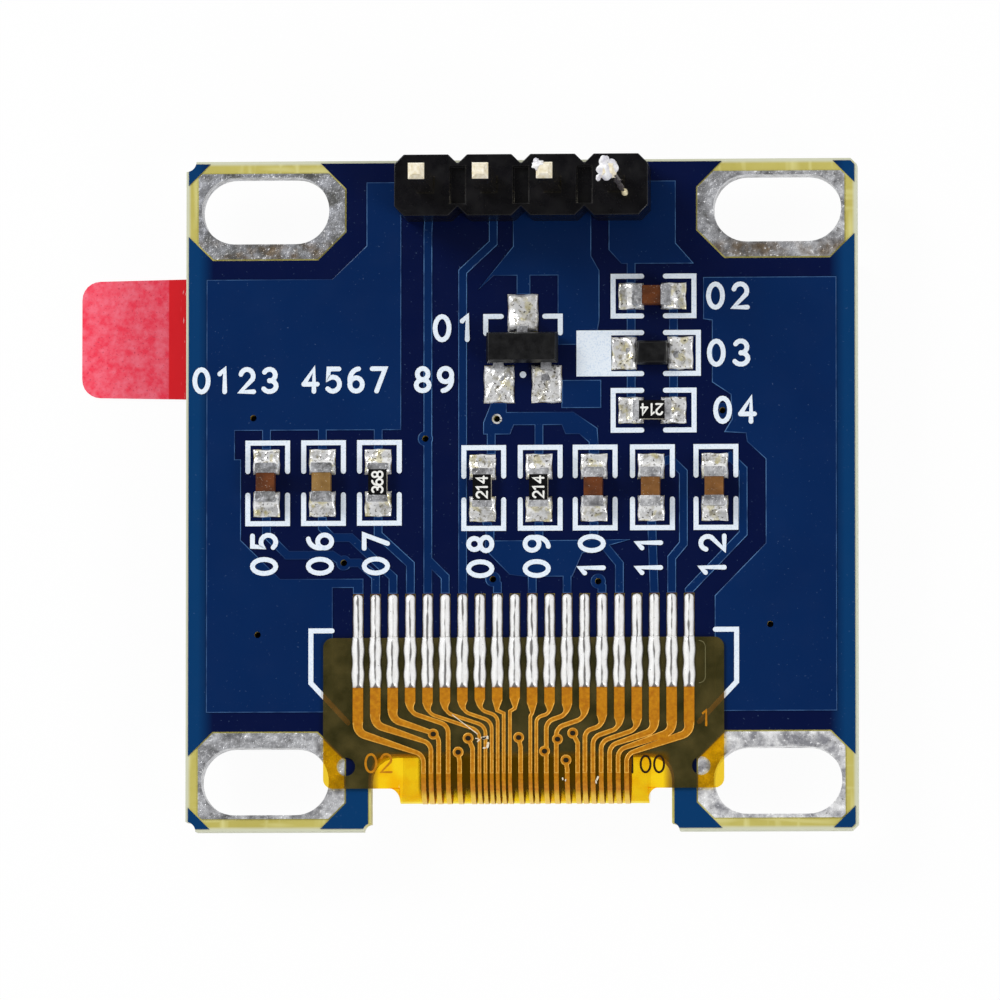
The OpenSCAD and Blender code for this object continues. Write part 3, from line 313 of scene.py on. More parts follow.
def finger_tin_finish(name, half_width, low_end):
    """White tin on a finger: a painted reflection as a dark streak on its crest, widening to a notch at the
    low end, and painted shade on its sides.
    """
    f = Finish(name, Metallic=0.2, Roughness=0.3)
    own = f.add("ShaderNodeAttribute", attribute_name="in_finger").outputs["Vector"]
    split = f.add("ShaderNodeSeparateXYZ", {"Vector": own})
    # Painted reflection: a dark streak down the crest, where the level top would mirror the dark sky overhead
    wander = f.step(f.noise(0.7, 2, f.stretched(1, 0.4, 1)), 0.3, 0.7, -0.04 * MM, 0.04 * MM)
    aside = f.math("ABSOLUTE", f.math("ADD", split.outputs["X"], wander))
    strength = f.step(f.noise(0.45, 3, f.stretched(1, 0.5, 1)), 0.42, 0.6)
    reach = f.times(strength, 0.05 * MM)
    notch = f.step(split.outputs["Y"], -low_end + 0.22 * MM, -low_end, 0.0, 0.12 * MM)
    width = f.math("MAXIMUM", reach, notch)
    streak = f.step(f.minus(aside, width), -0.02 * MM, 0.015 * MM, 1.0, 0.0)
    colour = f.mix(f.step(f.noise(0.2, 3), 0.3, 0.6), rgb(246, 245, 242), rgb(255, 255, 254))
    colour = f.mix(f.times(streak, 0.85), colour, rgb(78, 74, 72))
    colour = f.mix(f.step(f.noise(0.08, 3), 0.70, 0.74, 0.0, 0.8), colour, rgb(60, 48, 40))
    # Painted shade on the finger's sides
    edge = f.step(f.math("ABSOLUTE", split.outputs["X"]), half_width - 0.05 * MM, half_width - 0.01 * MM)
    return f.set(Base_Color=f.mix(f.times(edge, 0.75), colour, rgb(58, 50, 46)),
                 Normal=f.bump(f.noise(0.15, 2), 0.15, 0.02)).material


def copper_finish():
    f = Finish("copper", Metallic=1.0, Roughness=0.35)
    grain = f.noise(0.4, 4)
    return f.set(Base_Color=f.mix(grain, rgb(176, 104, 66), rgb(216, 146, 100)),
                 Normal=f.bump(grain, 0.2, 0.01)).material


def header_plastic_finish():
    f = Finish("header_plastic", Specular_IOR_Level=0.3)
    colour = f.mix(f.noise(0.7, 3), rgb(4, 4, 6), rgb(13, 12, 16))
    dust = f.step(f.noise(0.05, 2), 0.73, 0.78, 0.0, 0.4)
    return f.set(Base_Color=f.mix(dust, colour, rgb(110, 110, 116)),
                 Roughness=f.step(f.noise(0.5, 3), 0.3, 0.7, 0.2, 0.4),
                 Normal=f.bump(f.noise(0.08, 4), 0.15, 0.02)).material


def pin_finish():
    """Polished pins whose cut tips are pale and dull."""
    f = Finish("pin_metal")
    tip = f.step(f.axis("Z"), 8.1 * MM, 8.16 * MM)
    grain = f.noise(0.15, 4)
    colour = f.mix(f.step(grain, 0.3, 0.7), rgb(228, 214, 176), rgb(255, 248, 230))
    return f.set(Base_Color=colour, Metallic=f.step(tip, 0, 1, 1.0, 0.0),
                 Roughness=f.step(tip, 0, 1, 0.12, 0.5), Normal=f.bump(grain, 0.1, 0.01)).material


def ceramic_finish(name, dark, light):
    f = Finish(name, Specular_IOR_Level=0.3)
    grain = f.noise(0.1, 4)
    colour = f.mix(f.step(f.noise(0.45, 3), 0.3, 0.7), dark, light)
    colour = f.mix(f.step(f.noise(0.05, 2), 0.68, 0.74, 0.0, 0.5), colour, rgb(230, 220, 205))
    return f.set(Base_Color=colour, Roughness=f.step(grain, 0.3, 0.7, 0.38, 0.6),
                 Normal=f.bump(grain, 0.3, 0.02)).material


def moulded_black_finish(name, dark, light, rough):
    f = Finish(name, Specular_IOR_Level=0.3)
    grain = f.noise(0.06, 4)
    colour = f.mix(f.step(grain, 0.35, 0.7), dark, light)
    return f.set(Base_Color=colour, Roughness=f.step(f.noise(0.3, 3), 0.3, 0.7, rough - 0.1, rough + 0.1),
                 Normal=f.bump(grain, 0.4, 0.015)).material


def polyimide_finish():
    """Amber film that tints what is behind it: dull over the board, painted bright over the notch and over a
    slot's land, clear below.
    """
    f = Finish("polyimide", Roughness=0.16)
    low, high = (Vector(corner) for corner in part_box("flex_film"))
    streak = f.noise(0.9, 3)
    notch = f.times(f.step(f.axis("Y"), -10.3 * MM, -10.6 * MM),
                   f.step(f.math("ABSOLUTE", f.axis("X")), 6.0 * MM, 5.7 * MM))
    # Between the conductors the film is painted dark up to the outside of the bend: partly the dark lower run
    # behind it, partly painted shade
    across = f.math("ABSOLUTE", f.minus(f.axis("X"), (low.x + high.x) / 2))
    lower_run_and_shade = f.times(f.step(across, 4.25 * MM, 4.05 * MM),
                    f.step(f.axis("Y"), low.y + 0.15 * MM, low.y + 0.6 * MM))
    amber = f.mix(f.step(streak, 0.35, 0.6), rgb(252, 220, 74), rgb(255, 236, 96))
    # Painted light: golden where a slot's bright land lies behind, inside the land's cut corner
    land_low, land_high = (Vector(corner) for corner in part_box("slot_plating_4"))
    aside = f.math("ABSOLUTE", f.axis("X"))
    cut = land_low.x - land_high.y + SLOT_LAND_CUT * MM
    painted_land_light = f.times(f.step(aside, land_low.x - 0.02 * MM, land_low.x + 0.02 * MM),
                       f.step(f.minus(aside, f.axis("Y")), cut - 0.03 * MM, cut + 0.03 * MM))
    tint = f.mix(painted_land_light, f.mix(streak, rgb(196, 170, 84), rgb(222, 190, 92)), rgb(255, 240, 130))
    tint = f.mix(notch, tint, amber)
    tint = f.mix(f.times(notch, lower_run_and_shade), tint, f.mix(streak, rgb(66, 60, 30), rgb(94, 78, 36)))
    bend = (low.z + high.z) / 2
    tint = f.mix(f.step(f.axis("Z"), bend + 0.1 * MM, bend - 0.1 * MM), tint, rgb(255, 253, 244))
    # Painted light: the film's own colour turns golden over a land and bright amber over the notch, where
    # light comes through it
    body = f.mix(f.step(streak, 0.3, 0.7), rgb(92, 92, 50), rgb(146, 138, 84))
    body = f.mix(painted_land_light, body, rgb(214, 160, 20))
    f.set(Base_Color=f.mix(notch, body, rgb(226, 168, 20)), Normal=f.bump(f.noise(0.9, 2), 0.12, 0.03))
    return f.see_through(tint, f.step(notch, 0, 1, 0.2, 0.08))


def flex_copper_finish(name="flex_copper", dark=rgb(192, 116, 6), light=rgb(222, 148, 16)):
    f = Finish(name, Metallic=0.3, Roughness=0.35)
    grain = f.noise(0.12, 4)
    colour = f.mix(f.step(grain, 0.3, 0.7), dark, light)
    # Painted highlight: the conductors turn pale yellow where they round the bend
    colour = f.mix(f.step(f.axis("Y"), -11.85 * MM, -12.1 * MM, 0.0, 0.8), colour, rgb(255, 214, 70))
    return f.set(Base_Color=colour, Normal=f.bump(grain, 0.2, 0.01)).material


def glass_finish():
    f = Finish("display_glass", Roughness=0.05, IOR=1.52, Coat_Weight=0.5)
    cloud = f.noise(5, 2)
    return f.set(Base_Color=f.mix(cloud, rgb(30, 38, 42), rgb(44, 54, 58))).material


def plain_finish(name, dark, light, size, rough, metal=0.0):
    """A pale or dark piece with clouds of the given size and a faint grain."""
    f = Finish(name, Roughness=rough, Metallic=metal)
    grain = f.noise(size / 6, 4)
    return f.set(Base_Color=f.mix(f.noise(size, 3), dark, light), Normal=f.bump(grain, 0.15, 0.01)).material


def clear_film_finish():
    f = Finish("clear_film", Roughness=0.12)
    f.set(Base_Color=f.mix(f.noise(2, 3), rgb(176, 196, 220), rgb(206, 220, 236)))
    return f.see_through(rgb(235, 240, 246), 0.3)


def red_film_finish():
    """Pull tab: mottled pink, with a deeper red stripe of painted shade beside the board."""
    f = Finish("red_film", Roughness=0.35)
    mottle = f.mix(f.step(f.noise(0.4, 6, rough=0.7), 0.38, 0.62), rgb(252, 58, 84), rgb(255, 114, 134))
    mottle = f.mix(f.step(f.noise(0.09, 3), 0.62, 0.68, 0.0, 0.7), mottle, rgb(214, 40, 70))
    # Painted shade: a deeper red stripe where the tab lies in shade beside the board
    shaded_stripe = f.step(f.axis("X"), -14.5 * MM, -14.46 * MM)
    colour = f.mix(shaded_stripe, mottle, rgb(236, 18, 32))
    scratch = f.step(f.noise(0.05, 2, f.stretched(1, 0.08, 1)), 0.66, 0.7)
    scratch = f.times(scratch, f.step(f.axis("X"), -14.0 * MM, -13.9 * MM))
    colour = f.mix(scratch, colour, rgb(255, 224, 226))
    return f.set(Base_Color=colour, Normal=f.bump(f.noise(1.2, 3), 0.3, 0.05)).material


FINISHES = {
    "laminate": laminate_finish(),
    "copper": copper_finish(),
    "solder": solder_finish(),
    "solder_mask": solder_mask_finish(),
    "printed_ink": printed_ink_finish(),
    "tin_plate": slot_tin_finish(),
    "header_plastic": header_plastic_finish(),
    "pin_metal": pin_finish(),
    "ceramic_brown": ceramic_finish("ceramic_brown", rgb(74, 36, 10), rgb(108, 56, 18)),
    "ceramic_tan": ceramic_finish("ceramic_tan", rgb(104, 66, 26), rgb(134, 90, 44)),
    "ceramic_sand": ceramic_finish("ceramic_sand", rgb(124, 92, 44), rgb(152, 118, 66)),
    "alumina": ceramic_finish("alumina", rgb(206, 198, 176), rgb(228, 222, 204)),
    "black_glaze": moulded_black_finish("black_glaze", rgb(4, 4, 5), rgb(12, 12, 13), 0.3),
    "moulding_compound": moulded_black_finish("moulding_compound", rgb(7, 7, 8), rgb(18, 18, 19), 0.4),
    "polyimide": polyimide_finish(),
    "flex_copper": flex_copper_finish(),
    "display_glass": glass_finish(),
    "epoxy": plain_finish("epoxy", rgb(168, 164, 140), rgb(190, 186, 160), 1.5, 0.4),
    "dryer": plain_finish("dryer", rgb(220, 220, 214), rgb(236, 236, 230), 2, 0.7),
    "pixel_metal": plain_finish("pixel_metal", rgb(84, 84, 92), rgb(112, 112, 120), 2, 0.3, 1.0),
    "silicon": plain_finish("silicon", rgb(78, 80, 90), rgb(106, 108, 118), 2, 0.25, 0.6),
    "polarizer": plain_finish("polarizer", rgb(10, 10, 12), rgb(22, 22, 26), 4, 0.15),
    "clear_film": clear_film_finish(),
    "red_film": red_film_finish(),
    "foam_tape": plain_finish("foam_tape", rgb(222, 220, 212), rgb(240, 238, 232), 0.4, 0.8),
}


def dress_cad_nodes():
    """Gives each CAD piece the finish of its slot in the record."""
    for node, slot in SLOTS.items():
        mesh = nodes[node].data
        mesh.materials.clear()
        mesh.materials.append(FINISHES[slot])
    nodes["land_tinning"].data.materials[0] = painted_land_shade_finish()


dress_cad_nodes()


# --- Pieces made here ---
def plain_mesh(name, points, faces):
    mesh = bpy.data.meshes.new(name)
    mesh.from_pydata(points, [], faces)
    return mesh


def add_piece(name, mesh, finish, slot, *stands_for):
    """Puts a mesh into the scene as a piece that rides with the board."""
    mesh.materials.clear()
    mesh.materials.append(finish)
    piece = bpy.data.objects.new(name, mesh)
    bpy.context.scene.collection.objects.link(piece)
    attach(piece, "root")
    if stands_for:
        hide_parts(*stands_for)


def welded(node):
    """Copy of a CAD piece's mesh whose faces share their corners."""
    bm = bmesh.new()
    bm.from_mesh(nodes[node].data)
    bmesh.ops.remove_doubles(bm, verts=bm.verts, dist=WELD * MM)
    return bm


def soften(node, radius):
    """Stands for a CAD piece with the same shape and finish, its edges rounded."""
    bm = welded(node)
    bmesh.ops.dissolve_limit(bm, angle_limit=math.radians(1), verts=bm.verts, edges=bm.edges)
    sharp = [e for e in bm.edges if len(e.link_faces) == 2 and e.calc_face_angle(0) > math.radians(20)]
    bmesh.ops.bevel(bm, geom=sharp, offset=radius * MM, segments=3, profile=0.5, affect="EDGES",
                    clamp_overlap=True)
    # Only the rounded strips are smooth, so the level faces keep their own light
    strip_area = 0.04 * MM * MM
    for face in bm.faces:
        face.smooth = face.calc_area() < strip_area
    mesh = bpy.data.meshes.new(node + "_rounded")
    bm.to_mesh(mesh)
    bm.free()
    add_piece(node + "_rounded", mesh, FINISHES[SLOTS[node]], SLOTS[node], node)


for number in range(1, 7):
    soften(f"capacitor_{number}_ends", 0.05)
for number in range(1, 5):
    soften(f"resistor_{number}_ends", 0.03)
soften("diode_body", 0.07)
soften("transistor_body", 0.06)
soften("header_body", 0.035)


def arc(cx, cy, rx, ry, start, end, steps=10):
    """Points on an ellipse from one angle in degrees to another."""
    angles = [math.radians(start + (end - start) * i / steps) for i in range(steps + 1)]
    return [(cx + rx * math.cos(a), cy + ry * math.sin(a)) for a in angles]


# Strokes of each digit in a box 0.6 wide and 1 high
DIGITS = {
    "0": [arc(0.3, 0.5, 0.3, 0.5, 90, 450, 20)],
    "1": [[(0.1, 0.8), (0.32, 1.0), (0.32, 0.0)]],
    "2": [arc(0.3, 0.7, 0.28, 0.3, 165, -30) + [(0.02, 0.0), (0.6, 0.0)]],
    "3": [arc(0.29, 0.74, 0.26, 0.26, 150, -90), arc(0.29, 0.25, 0.3, 0.25, 90, -150)],
    "4": [[(0.45, 0.0), (0.45, 1.0), (0.0, 0.32)], [(0.0, 0.32), (0.6, 0.32)]],
    "5": [[(0.55, 1.0), (0.1, 1.0), (0.06, 0.55)] + arc(0.28, 0.32, 0.3, 0.32, 115, -140)],
    "6": [arc(0.3, 0.3, 0.28, 0.3, 180, 540, 20), arc(0.45, 0.5, 0.43, 0.5, 95, 190)],
    "7": [[(0.0, 1.0), (0.58, 1.0), (0.2, 0.0)]],
    "8": [arc(0.3, 0.75, 0.24, 0.25, 270, -90, 16), arc(0.3, 0.25, 0.29, 0.25, 90, 450, 16)],
    "9": [arc(0.3, 0.7, 0.28, 0.3, 0, 360, 20), arc(0.15, 0.5, 0.43, 0.5, -85, 10)],
}


def brush_sections(path, width):
    """Places, half widths and sides along a brush stroke with round ends, or along a closed loop."""
    p = [Vector(q) for q in path]
    closed = (p[0] - p[-1]).length < width / 20
    if closed:
        p = p[:-1]
    count = len(p)
    sections = []
    for i in range(count):
        before = p[i] - p[i - 1] if closed or i else p[1] - p[0]
        after = p[(i + 1) % count] - p[i] if closed or i < count - 1 else before
        if not closed and i == 0:
            before = after
        along = (before.normalized() + after.normalized()).normalized()
        stretch = 1 / max(along.dot(after.normalized()), 0.6)
        sections.append((p[i], width / 2 * stretch, Vector((-along.y, along.x))))
    if not closed:
        for side in (-1, 1):
            at, half, aside = sections[0 if side < 0 else -1]
            along = Vector((aside.y, -aside.x)) * side
            cap = [(at + along * half * math.sin(math.radians(a)), half * math.cos(math.radians(a)), aside)
                   for a in (30, 55, 75, 88)]
            sections = cap[::-1] + sections if side < 0 else sections + cap
    return sections, closed


def stroke_mesh(name, strokes, bottom, thickness):
    """Flat raised brush strokes. A stroke is its path and line width, and may lie a layer higher."""
    points, faces = [], []
    for path, line, *layer in strokes:
        sections, closed = brush_sections(path, line)
        first = len(points)
        top = bottom + thickness * (1 + 0.3 * sum(layer))
        for at, half, aside in sections:
            for side, z in ((1, top), (-1, top), (-1, bottom), (1, bottom)):
                q = at + aside * half * side
                points.append((q.x * MM, q.y * MM, z * MM))
        count = len(sections)
        for k in range(count if closed else count - 1):
            a, b = first + 4 * k, first + 4 * ((k + 1) % count)
            for m in range(4):
                n = (m + 1) % 4
                faces.append((a + m, a + n, b + n, b + m))
        if not closed:
            a, b = first, first + 4 * (count - 1)
            faces.append((a, a + 3, a + 2, a + 1))
            faces.append((b, b + 1, b + 2, b + 3))
    return plain_mesh(name, points, faces)


def number_mesh(name, labels, bottom, thickness):
    """Flat raised numbers. A label is its digits, middle, height, line width, turn and digit gap."""
    strokes = []
    for digits, centre, height, line, turn, room in labels:
        total = height * (0.6 * len(digits) + room * (len(digits) - 1))
        spin = Matrix.Rotation(math.radians(turn), 2)
        for i, digit in enumerate(digits):
            left = -total / 2 + i * height * (0.6 + room)
            for layer, stroke in enumerate(DIGITS[digit]):
                path = [Vector(centre[:2]) + spin @ Vector((left + x * height, (y - 0.5) * height))
                        for x, y in stroke]
                strokes.append((path, line, layer))
    return stroke_mesh(name, strokes, bottom, thickness)


def print_numbers():
    """Plain numbers beside the parts, and a row of counting numbers at the left."""
    size, line, room = 0.94, 0.19, 0.46
    row_y = middle("capacitor_5").y - 2.85
    right_y = middle("capacitor_1").y - 2.75
    labels = [
        ("01", (-2.68, 6.72), size, line, 0, room),
        ("02", (8.32, middle("capacitor_6").y), size, line, 0, room),
        ("03", (8.35, middle("diode_body").y), size, line, 0, room),
        ("04", (8.6, middle("resistor_3").y), size, line, 0, room),
    ]
    for number, node, y in (
        ("05", "capacitor_5", row_y), ("06", "capacitor_4", row_y), ("07", "resistor_4", row_y),
        ("08", "resistor_2", right_y), ("09", "resistor_1", right_y), ("10", "capacitor_1", right_y),
        ("11", "capacitor_2", right_y), ("12", "capacitor_3", right_y),
    ):
        labels.append((number, (middle(node).x - 0.09, y), size, line, 90, room))
    for word, x in (("0123", -11.5), ("4567", -7.1), ("89", -3.5)):
        labels.append((word, (x, 4.65), 0.9, line, 0, 0.42))
    mesh = number_mesh("printed_numbers", labels, COAT_TOP, INK)
    add_piece("printed_numbers", mesh, FINISHES["printed_ink"], "printed_ink")


def mark_resistors():
    """White numbers on the resistors' black coats."""
    f = Finish("marking_paint", Roughness=0.5)
    f.set(Base_Color=f.mix(f.noise(0.08, 3), rgb(226, 226, 220), rgb(255, 255, 250)))
    labels = []
    for number, node, turn in (("214", "resistor_1_coat", 90), ("214", "resistor_2_coat", 90),
                               ("214", "resistor_3_coat", 180), ("368", "resistor_4_coat", 90)):
        labels.append((number, middle(node), 0.42, 0.08, turn, 0.12))
    mesh = number_mesh("resistor_numbers", labels, top_of("resistor_1_coat"), 0.006)
    add_piece("resistor_numbers", mesh, f.material, "printed_ink")


def print_on_flex():
    """Plain numbers in the flex's own copper, and dark ones over the notch."""
    film = top_of("flex_film")
    mesh = number_mesh("flex_numbers", [("02", (-5.72, -10.78), 0.72, 0.09, 0, 0.25),
                                        ("1", (7.42, -9.0), 0.6, 0.09, 0, 0)], film, THIN_MARK)
    add_piece("flex_numbers", mesh, FINISHES["flex_copper"], "flex_copper")
    f = Finish("dark_marking", Roughness=0.5, Specular_IOR_Level=0.15)
    f.set(Base_Color=f.mix(f.noise(0.1, 3), rgb(26, 15, 2), rgb(52, 32, 4)))
    mesh = number_mesh("dark_numbers", [("100", (5.0, -10.85), 0.66, 0.09, 0, 0.22)], film, THIN_MARK)
    add_piece("dark_numbers", mesh, f.material, "flex_copper")


def scratch_the_film():
    """A scratch in the film, and crumbs beside it."""
    f = Finish("scratched_film", Roughness=0.4)
    f.set(Base_Color=f.mix(f.noise(0.08, 3), rgb(196, 168, 110), rgb(255, 252, 240)))
    rng = np.random.default_rng(7)
    strokes = [([(-2.75, -8.85), (-2.1, -9.35), (-1.75, -9.62)], 0.035)]
    for x, y, spread, count in ((-1.42, -9.78, 0.16, 9), (1.75, -11.45, 0.05, 2), (3.0, -11.48, 0.06, 2)):
        for _ in range(count):
            a = Vector((x, y)) + Vector(rng.normal(0, spread, 2))
            strokes.append(([a, a + Vector(rng.normal(0, 0.08, 2))], rng.uniform(0.04, 0.1)))
    mesh = stroke_mesh("film_scratch", strokes, top_of("flex_traces"), THIN_MARK)
    add_piece("film_scratch", mesh, f.material, "polyimide")


def mark_the_press():
    """Edge of the press that made the joints, beside the last finger."""
    right, top, bottom, corner = middle("flex_film").x + 7.3, -6.15, -7.35, 0.25
    f = Finish("press_mark", Roughness=0.4)
    f.set(Base_Color=f.mix(f.noise(0.2, 3), rgb(84, 80, 50), rgb(122, 116, 78)))
    edge = arc(right - corner, top, corner, corner, 90, 0, 4)
    edge += arc(right - corner, bottom, corner, corner, 0, -90, 4)
    mesh = stroke_mesh("press_line", [(edge, 0.03)], top_of("flex_film"), THIN_MARK)
    add_piece("press_line", mesh, f.material, "polyimide")


print_numbers()
mark_resistors()
print_on_flex()
scratch_the_film()
mark_the_press()


# --- Rims of the tracks and conductors ---
def top_rings(node, least):
    """Closed paths, in millimetres, round a piece's level top faces, and the middles of tiny ones."""
    bm = welded(node)
    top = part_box(node)[1][2]
    level = {f for f in bm.faces if f.normal.z > 0.99 and abs(f.calc_center_median().z - top) < 1e-6}
    following = {}
    for face in level:
        for loop in face.loops:
            if sum(other in level for other in loop.edge.link_faces) == 1:
                following[loop.vert] = loop.link_loop_next.vert
    rings, dots = [], []
    while following:
        first, vert = next(iter(following.items()))
        ring = [first]
        del following[first]
        while vert != first and vert in following:
            ring.append(vert)
            vert = following.pop(vert)
        path = [v.co.xy / MM for v in ring]
        path = [q for i, q in enumerate(path) if (q - path[i - 1]).length > 0.004]
        if sum((q - path[i - 1]).length for i, q in enumerate(path)) < least:
            dots.append(sum(path, Vector((0, 0))) / len(path))
        else:
            rings.append(path)
    bm.free()
    return rings, dots


def rim_mesh(name, rings, top, limit=math.inf):
    """A thin ridge just inside each ring, below the limit in y; keeps how far each stretch faces sideways."""
    points, faces, sideways = [], [], []
    for path in rings:
        count, start = len(path), len(points)
        for i in range(count):
            before = (path[i] - path[i - 1]).normalized()
            after = (path[(i + 1) % count] - path[i]).normalized()
            normals = [Vector((d.y, -d.x)) for d in (before, after)]
            out = (normals[0] + normals[1]).normalized()
            out = out / max(out.dot(normals[0]), 0.5)
            for reach, rise in ((-RIM_WIDTH, -RIM_ROOT), (-RIM_WIDTH / 2, RIM_LIFT), (0, -RIM_ROOT)):
                q = path[i] + out * reach
                points.append((q.x * MM, q.y * MM, (top + rise) * MM))
                sideways.append(abs(out.normalized().x))
        for i in range(count):
            if max(path[i].y, path[(i + 1) % count].y) > limit:
                continue
            a, b = start + 3 * i, start + 3 * ((i + 1) % count)
            for m in range(3):
                n = (m + 1) % 3
                faces.append((a + m, b + m, b + n, a + n))
    mesh = plain_mesh(name, points, faces)
    mesh.attributes.new("sideways", "FLOAT", "POINT").data.foreach_set("value", sideways)
    return mesh


def line_the_rims():
    """Lines of painted highlight along the tracks and the conductors, and painted shade in the holes of the
    conductors' rings.
    """
    rings, _ = top_rings("solder_mask_back", 1.2)
    mesh = rim_mesh("track_rims", rings, top_of("solder_mask_back"))
    add_piece("track_rims", mesh, track_rim_finish(), "solder_mask")
    rings, holes = top_rings("flex_traces", 0.7)
    top = top_of("flex_traces")
    mesh = rim_mesh("conductor_rims", rings, top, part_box("finger_solder")[0][1] / MM)
    # Painted highlight: the conductors' rims are a paler copper, as glints along their edges
    finish = flex_copper_finish("conductor_rim", rgb(220, 152, 40), rgb(246, 192, 84))
    add_piece("conductor_rims", mesh, finish, "flex_copper")
    # Painted shade: dark discs over the rings' holes stand in for the shade inside them
    f = Finish("hole_ground", Roughness=0.5, Specular_IOR_Level=0.2)
    f.set(Base_Color=f.mix(f.noise(0.1), rgb(18, 14, 6), rgb(40, 32, 12)))
    dots = [([hole - Vector((0.012, 0)), hole + Vector((0.012, 0))], 0.2) for hole in holes]
    add_piece("hole_shade_discs", stroke_mesh("hole_shade_discs", dots, top, 0.005), f.material, "polyimide")


def ring_the_via():
    """Tin ring round the one via that the mask leaves bare."""
    circle = arc(-0.97, 3.05, 0.165, 0.165, 0, 360, 24)
    ring = stroke_mesh("via_ring", [(circle, 0.07)], top_of("solder_mask_back"), 0.01)
    add_piece("via_ring", ring, FINISHES["solder"], "solder")


def fill_neck_corners():
    """The film's hollow corners, level at the shoulders and bent down with the neck."""
    neck, foot, radius, thick = (-4.9, 5.1), -11.78, 0.45, 0.03
    low, high = (Vector(corner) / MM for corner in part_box("flex_film"))
    bend = (high.z - low.z) / 2
    points, faces = [], []
    for side, x in zip((-1, 1), neck):
        hollow = arc(x + side * radius, foot - radius, radius, radius, 90, 90 - side * -90, 8)
        outline = [(x - side * 0.02, foot + 0.02)] + hollow
        first, count = len(points), len(outline)
        tops = []
        for px, py in outline:
            past = max(0.0, low.y + bend - py)
            drop = bend - math.sqrt(bend ** 2 - past ** 2)
            tops.append(high.z - drop * (1 - min(1.0, abs(px - x) / radius)))
        for lower in (thick, 0.0):
            points += [(px * MM, py * MM, (z - lower) * MM) for (px, py), z in zip(outline, tops)]
        top = [first + count + k for k in range(count)]
        under = [first + k for k in range(count)]
        for k in range(1, count - 1):
            faces += [(top[0], top[k], top[k + 1])[::-side], (under[0], under[k], under[k + 1])[::side]]
        for k in range(count):
            n = (k + 1) % count
            faces.append((under[k], under[n], top[n], top[k])[::-side])
    mesh = plain_mesh("neck_corners", points, faces)
    add_piece("neck_corners", mesh, FINISHES["polyimide"], "polyimide")


fill_neck_corners()
line_the_rims()
ring_the_via()


# --- Solder on the lands ---
def lump_mesh(name, lands, seed):
    """Puddles of solder. A land is its middle, outward turn, size, height at the part and crown."""
    rng = np.random.default_rng(seed)
    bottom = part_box("land_tinning")[1][2]
    across, along = 26, 26
    points, faces = [], []
    u, v = np.meshgrid(np.linspace(-1, 1, along), np.linspace(-1, 1, across), indexing="ij")
    for centre, turn, (length, width), height, crown in lands:
        edge = np.clip((1 - np.abs(u) ** 5) * (1 - np.abs(v) ** 5), 0, 1) ** 0.4
        climb = np.clip(-u * 0.9 + 0.35, 0, 1) ** 1.6 * height
        waves = np.zeros_like(u)
        for _ in range(7):
            k = rng.normal(0, 3.4, 2)
            waves += np.sin(k[0] * u + k[1] * v + rng.uniform(0, 6.3))
        puddle = crown * (0.75 + 0.13 * waves)
        tall = edge * (climb + puddle) + 0.004
        wobble = 1 + 0.03 * np.sin(5 * np.arctan2(v, u) + rng.uniform(0, 6.3))
        x = u * (length / 2 + SOLDER_OVERLAP) * wobble
        y = v * (width / 2 + SOLDER_OVERLAP) * wobble
        c, s = math.cos(math.radians(turn)), math.sin(math.radians(turn))
        first = len(points)
        for i in range(along):
            for j in range(across):
                points.append(((centre[0] + x[i, j] * c - y[i, j] * s) * MM,
                               (centre[1] + x[i, j] * s + y[i, j] * c) * MM, bottom + tall[i, j] * MM))
        rim = [(i, 0) for i in range(along)] + [(along - 1, j) for j in range(1, across)]
        rim += [(i, across - 1) for i in range(along - 2, -1, -1)]
        rim += [(0, j) for j in range(across - 2, 0, -1)]
        for i in range(along - 1):
            for j in range(across - 1):
                a = first + i * across + j
                faces.append((a, a + across, a + across + 1, a + 1))
        skirt = len(points)
        for i, j in rim:
            x0, y0, _ = points[first + i * across + j]
            points.append((x0, y0, bottom))
        for k, (i, j) in enumerate(rim):
            n = (k + 1) % len(rim)
            a, b = first + i * across + j, first + rim[n][0] * across + rim[n][1]
            faces.append((b, a, skirt + k, skirt + n))
        faces.append(tuple(skirt + k for k in range(len(rim)))[::-1])
    mesh = plain_mesh(name, points, faces)
    mesh.shade_smooth()
    return mesh


def solder_the_lands():
    """Solder on the lands of the chips, the diode and the transistor."""
    lands = []
    reach = (CHIP_LAND_SPAN - CHIP_LAND[0]) / 2
    for node in [f"capacitor_{i}" for i in range(1, 7)] + [f"resistor_{i}" for i in range(1, 5)]:
        low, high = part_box(node)
        lying = high[0] - low[0] > high[1] - low[1]
        height = 0.42 if node.startswith("capacitor") else 0.3
        for turn in ((0, 180) if lying else (90, 270)):
            direction = Vector((math.cos(math.radians(turn)), math.sin(math.radians(turn)), 0))
            lands.append((middle(node) + direction * reach, turn, CHIP_LAND, height, 0.07))
    for turn in (0, 180):
        direction = Vector((math.cos(math.radians(turn)), 0, 0))
        centre = middle("diode_body") + direction * (DIODE_LAND_SPAN - DIODE_LAND[0]) / 2
        lands.append((centre, turn, DIODE_LAND, 0.1, 0.12))
    transistor = middle("transistor_body")
    out = (TRANSISTOR_LAND_SPAN - TRANSISTOR_LAND[0]) / 2
    for dx, turn in ((0, 90), (-TRANSISTOR_LEADS / 2, 270), (TRANSISTOR_LEADS / 2, 270)):
        centre = transistor + Vector((dx, out if turn == 90 else -out, 0))
        lands.append((centre, turn, TRANSISTOR_LAND, 0.12, 0.16))
    mesh = lump_mesh("land_solder", lands, 4)
    add_piece("land_solder", mesh, FINISHES["solder"], "solder", "component_solder")


solder_the_lands()


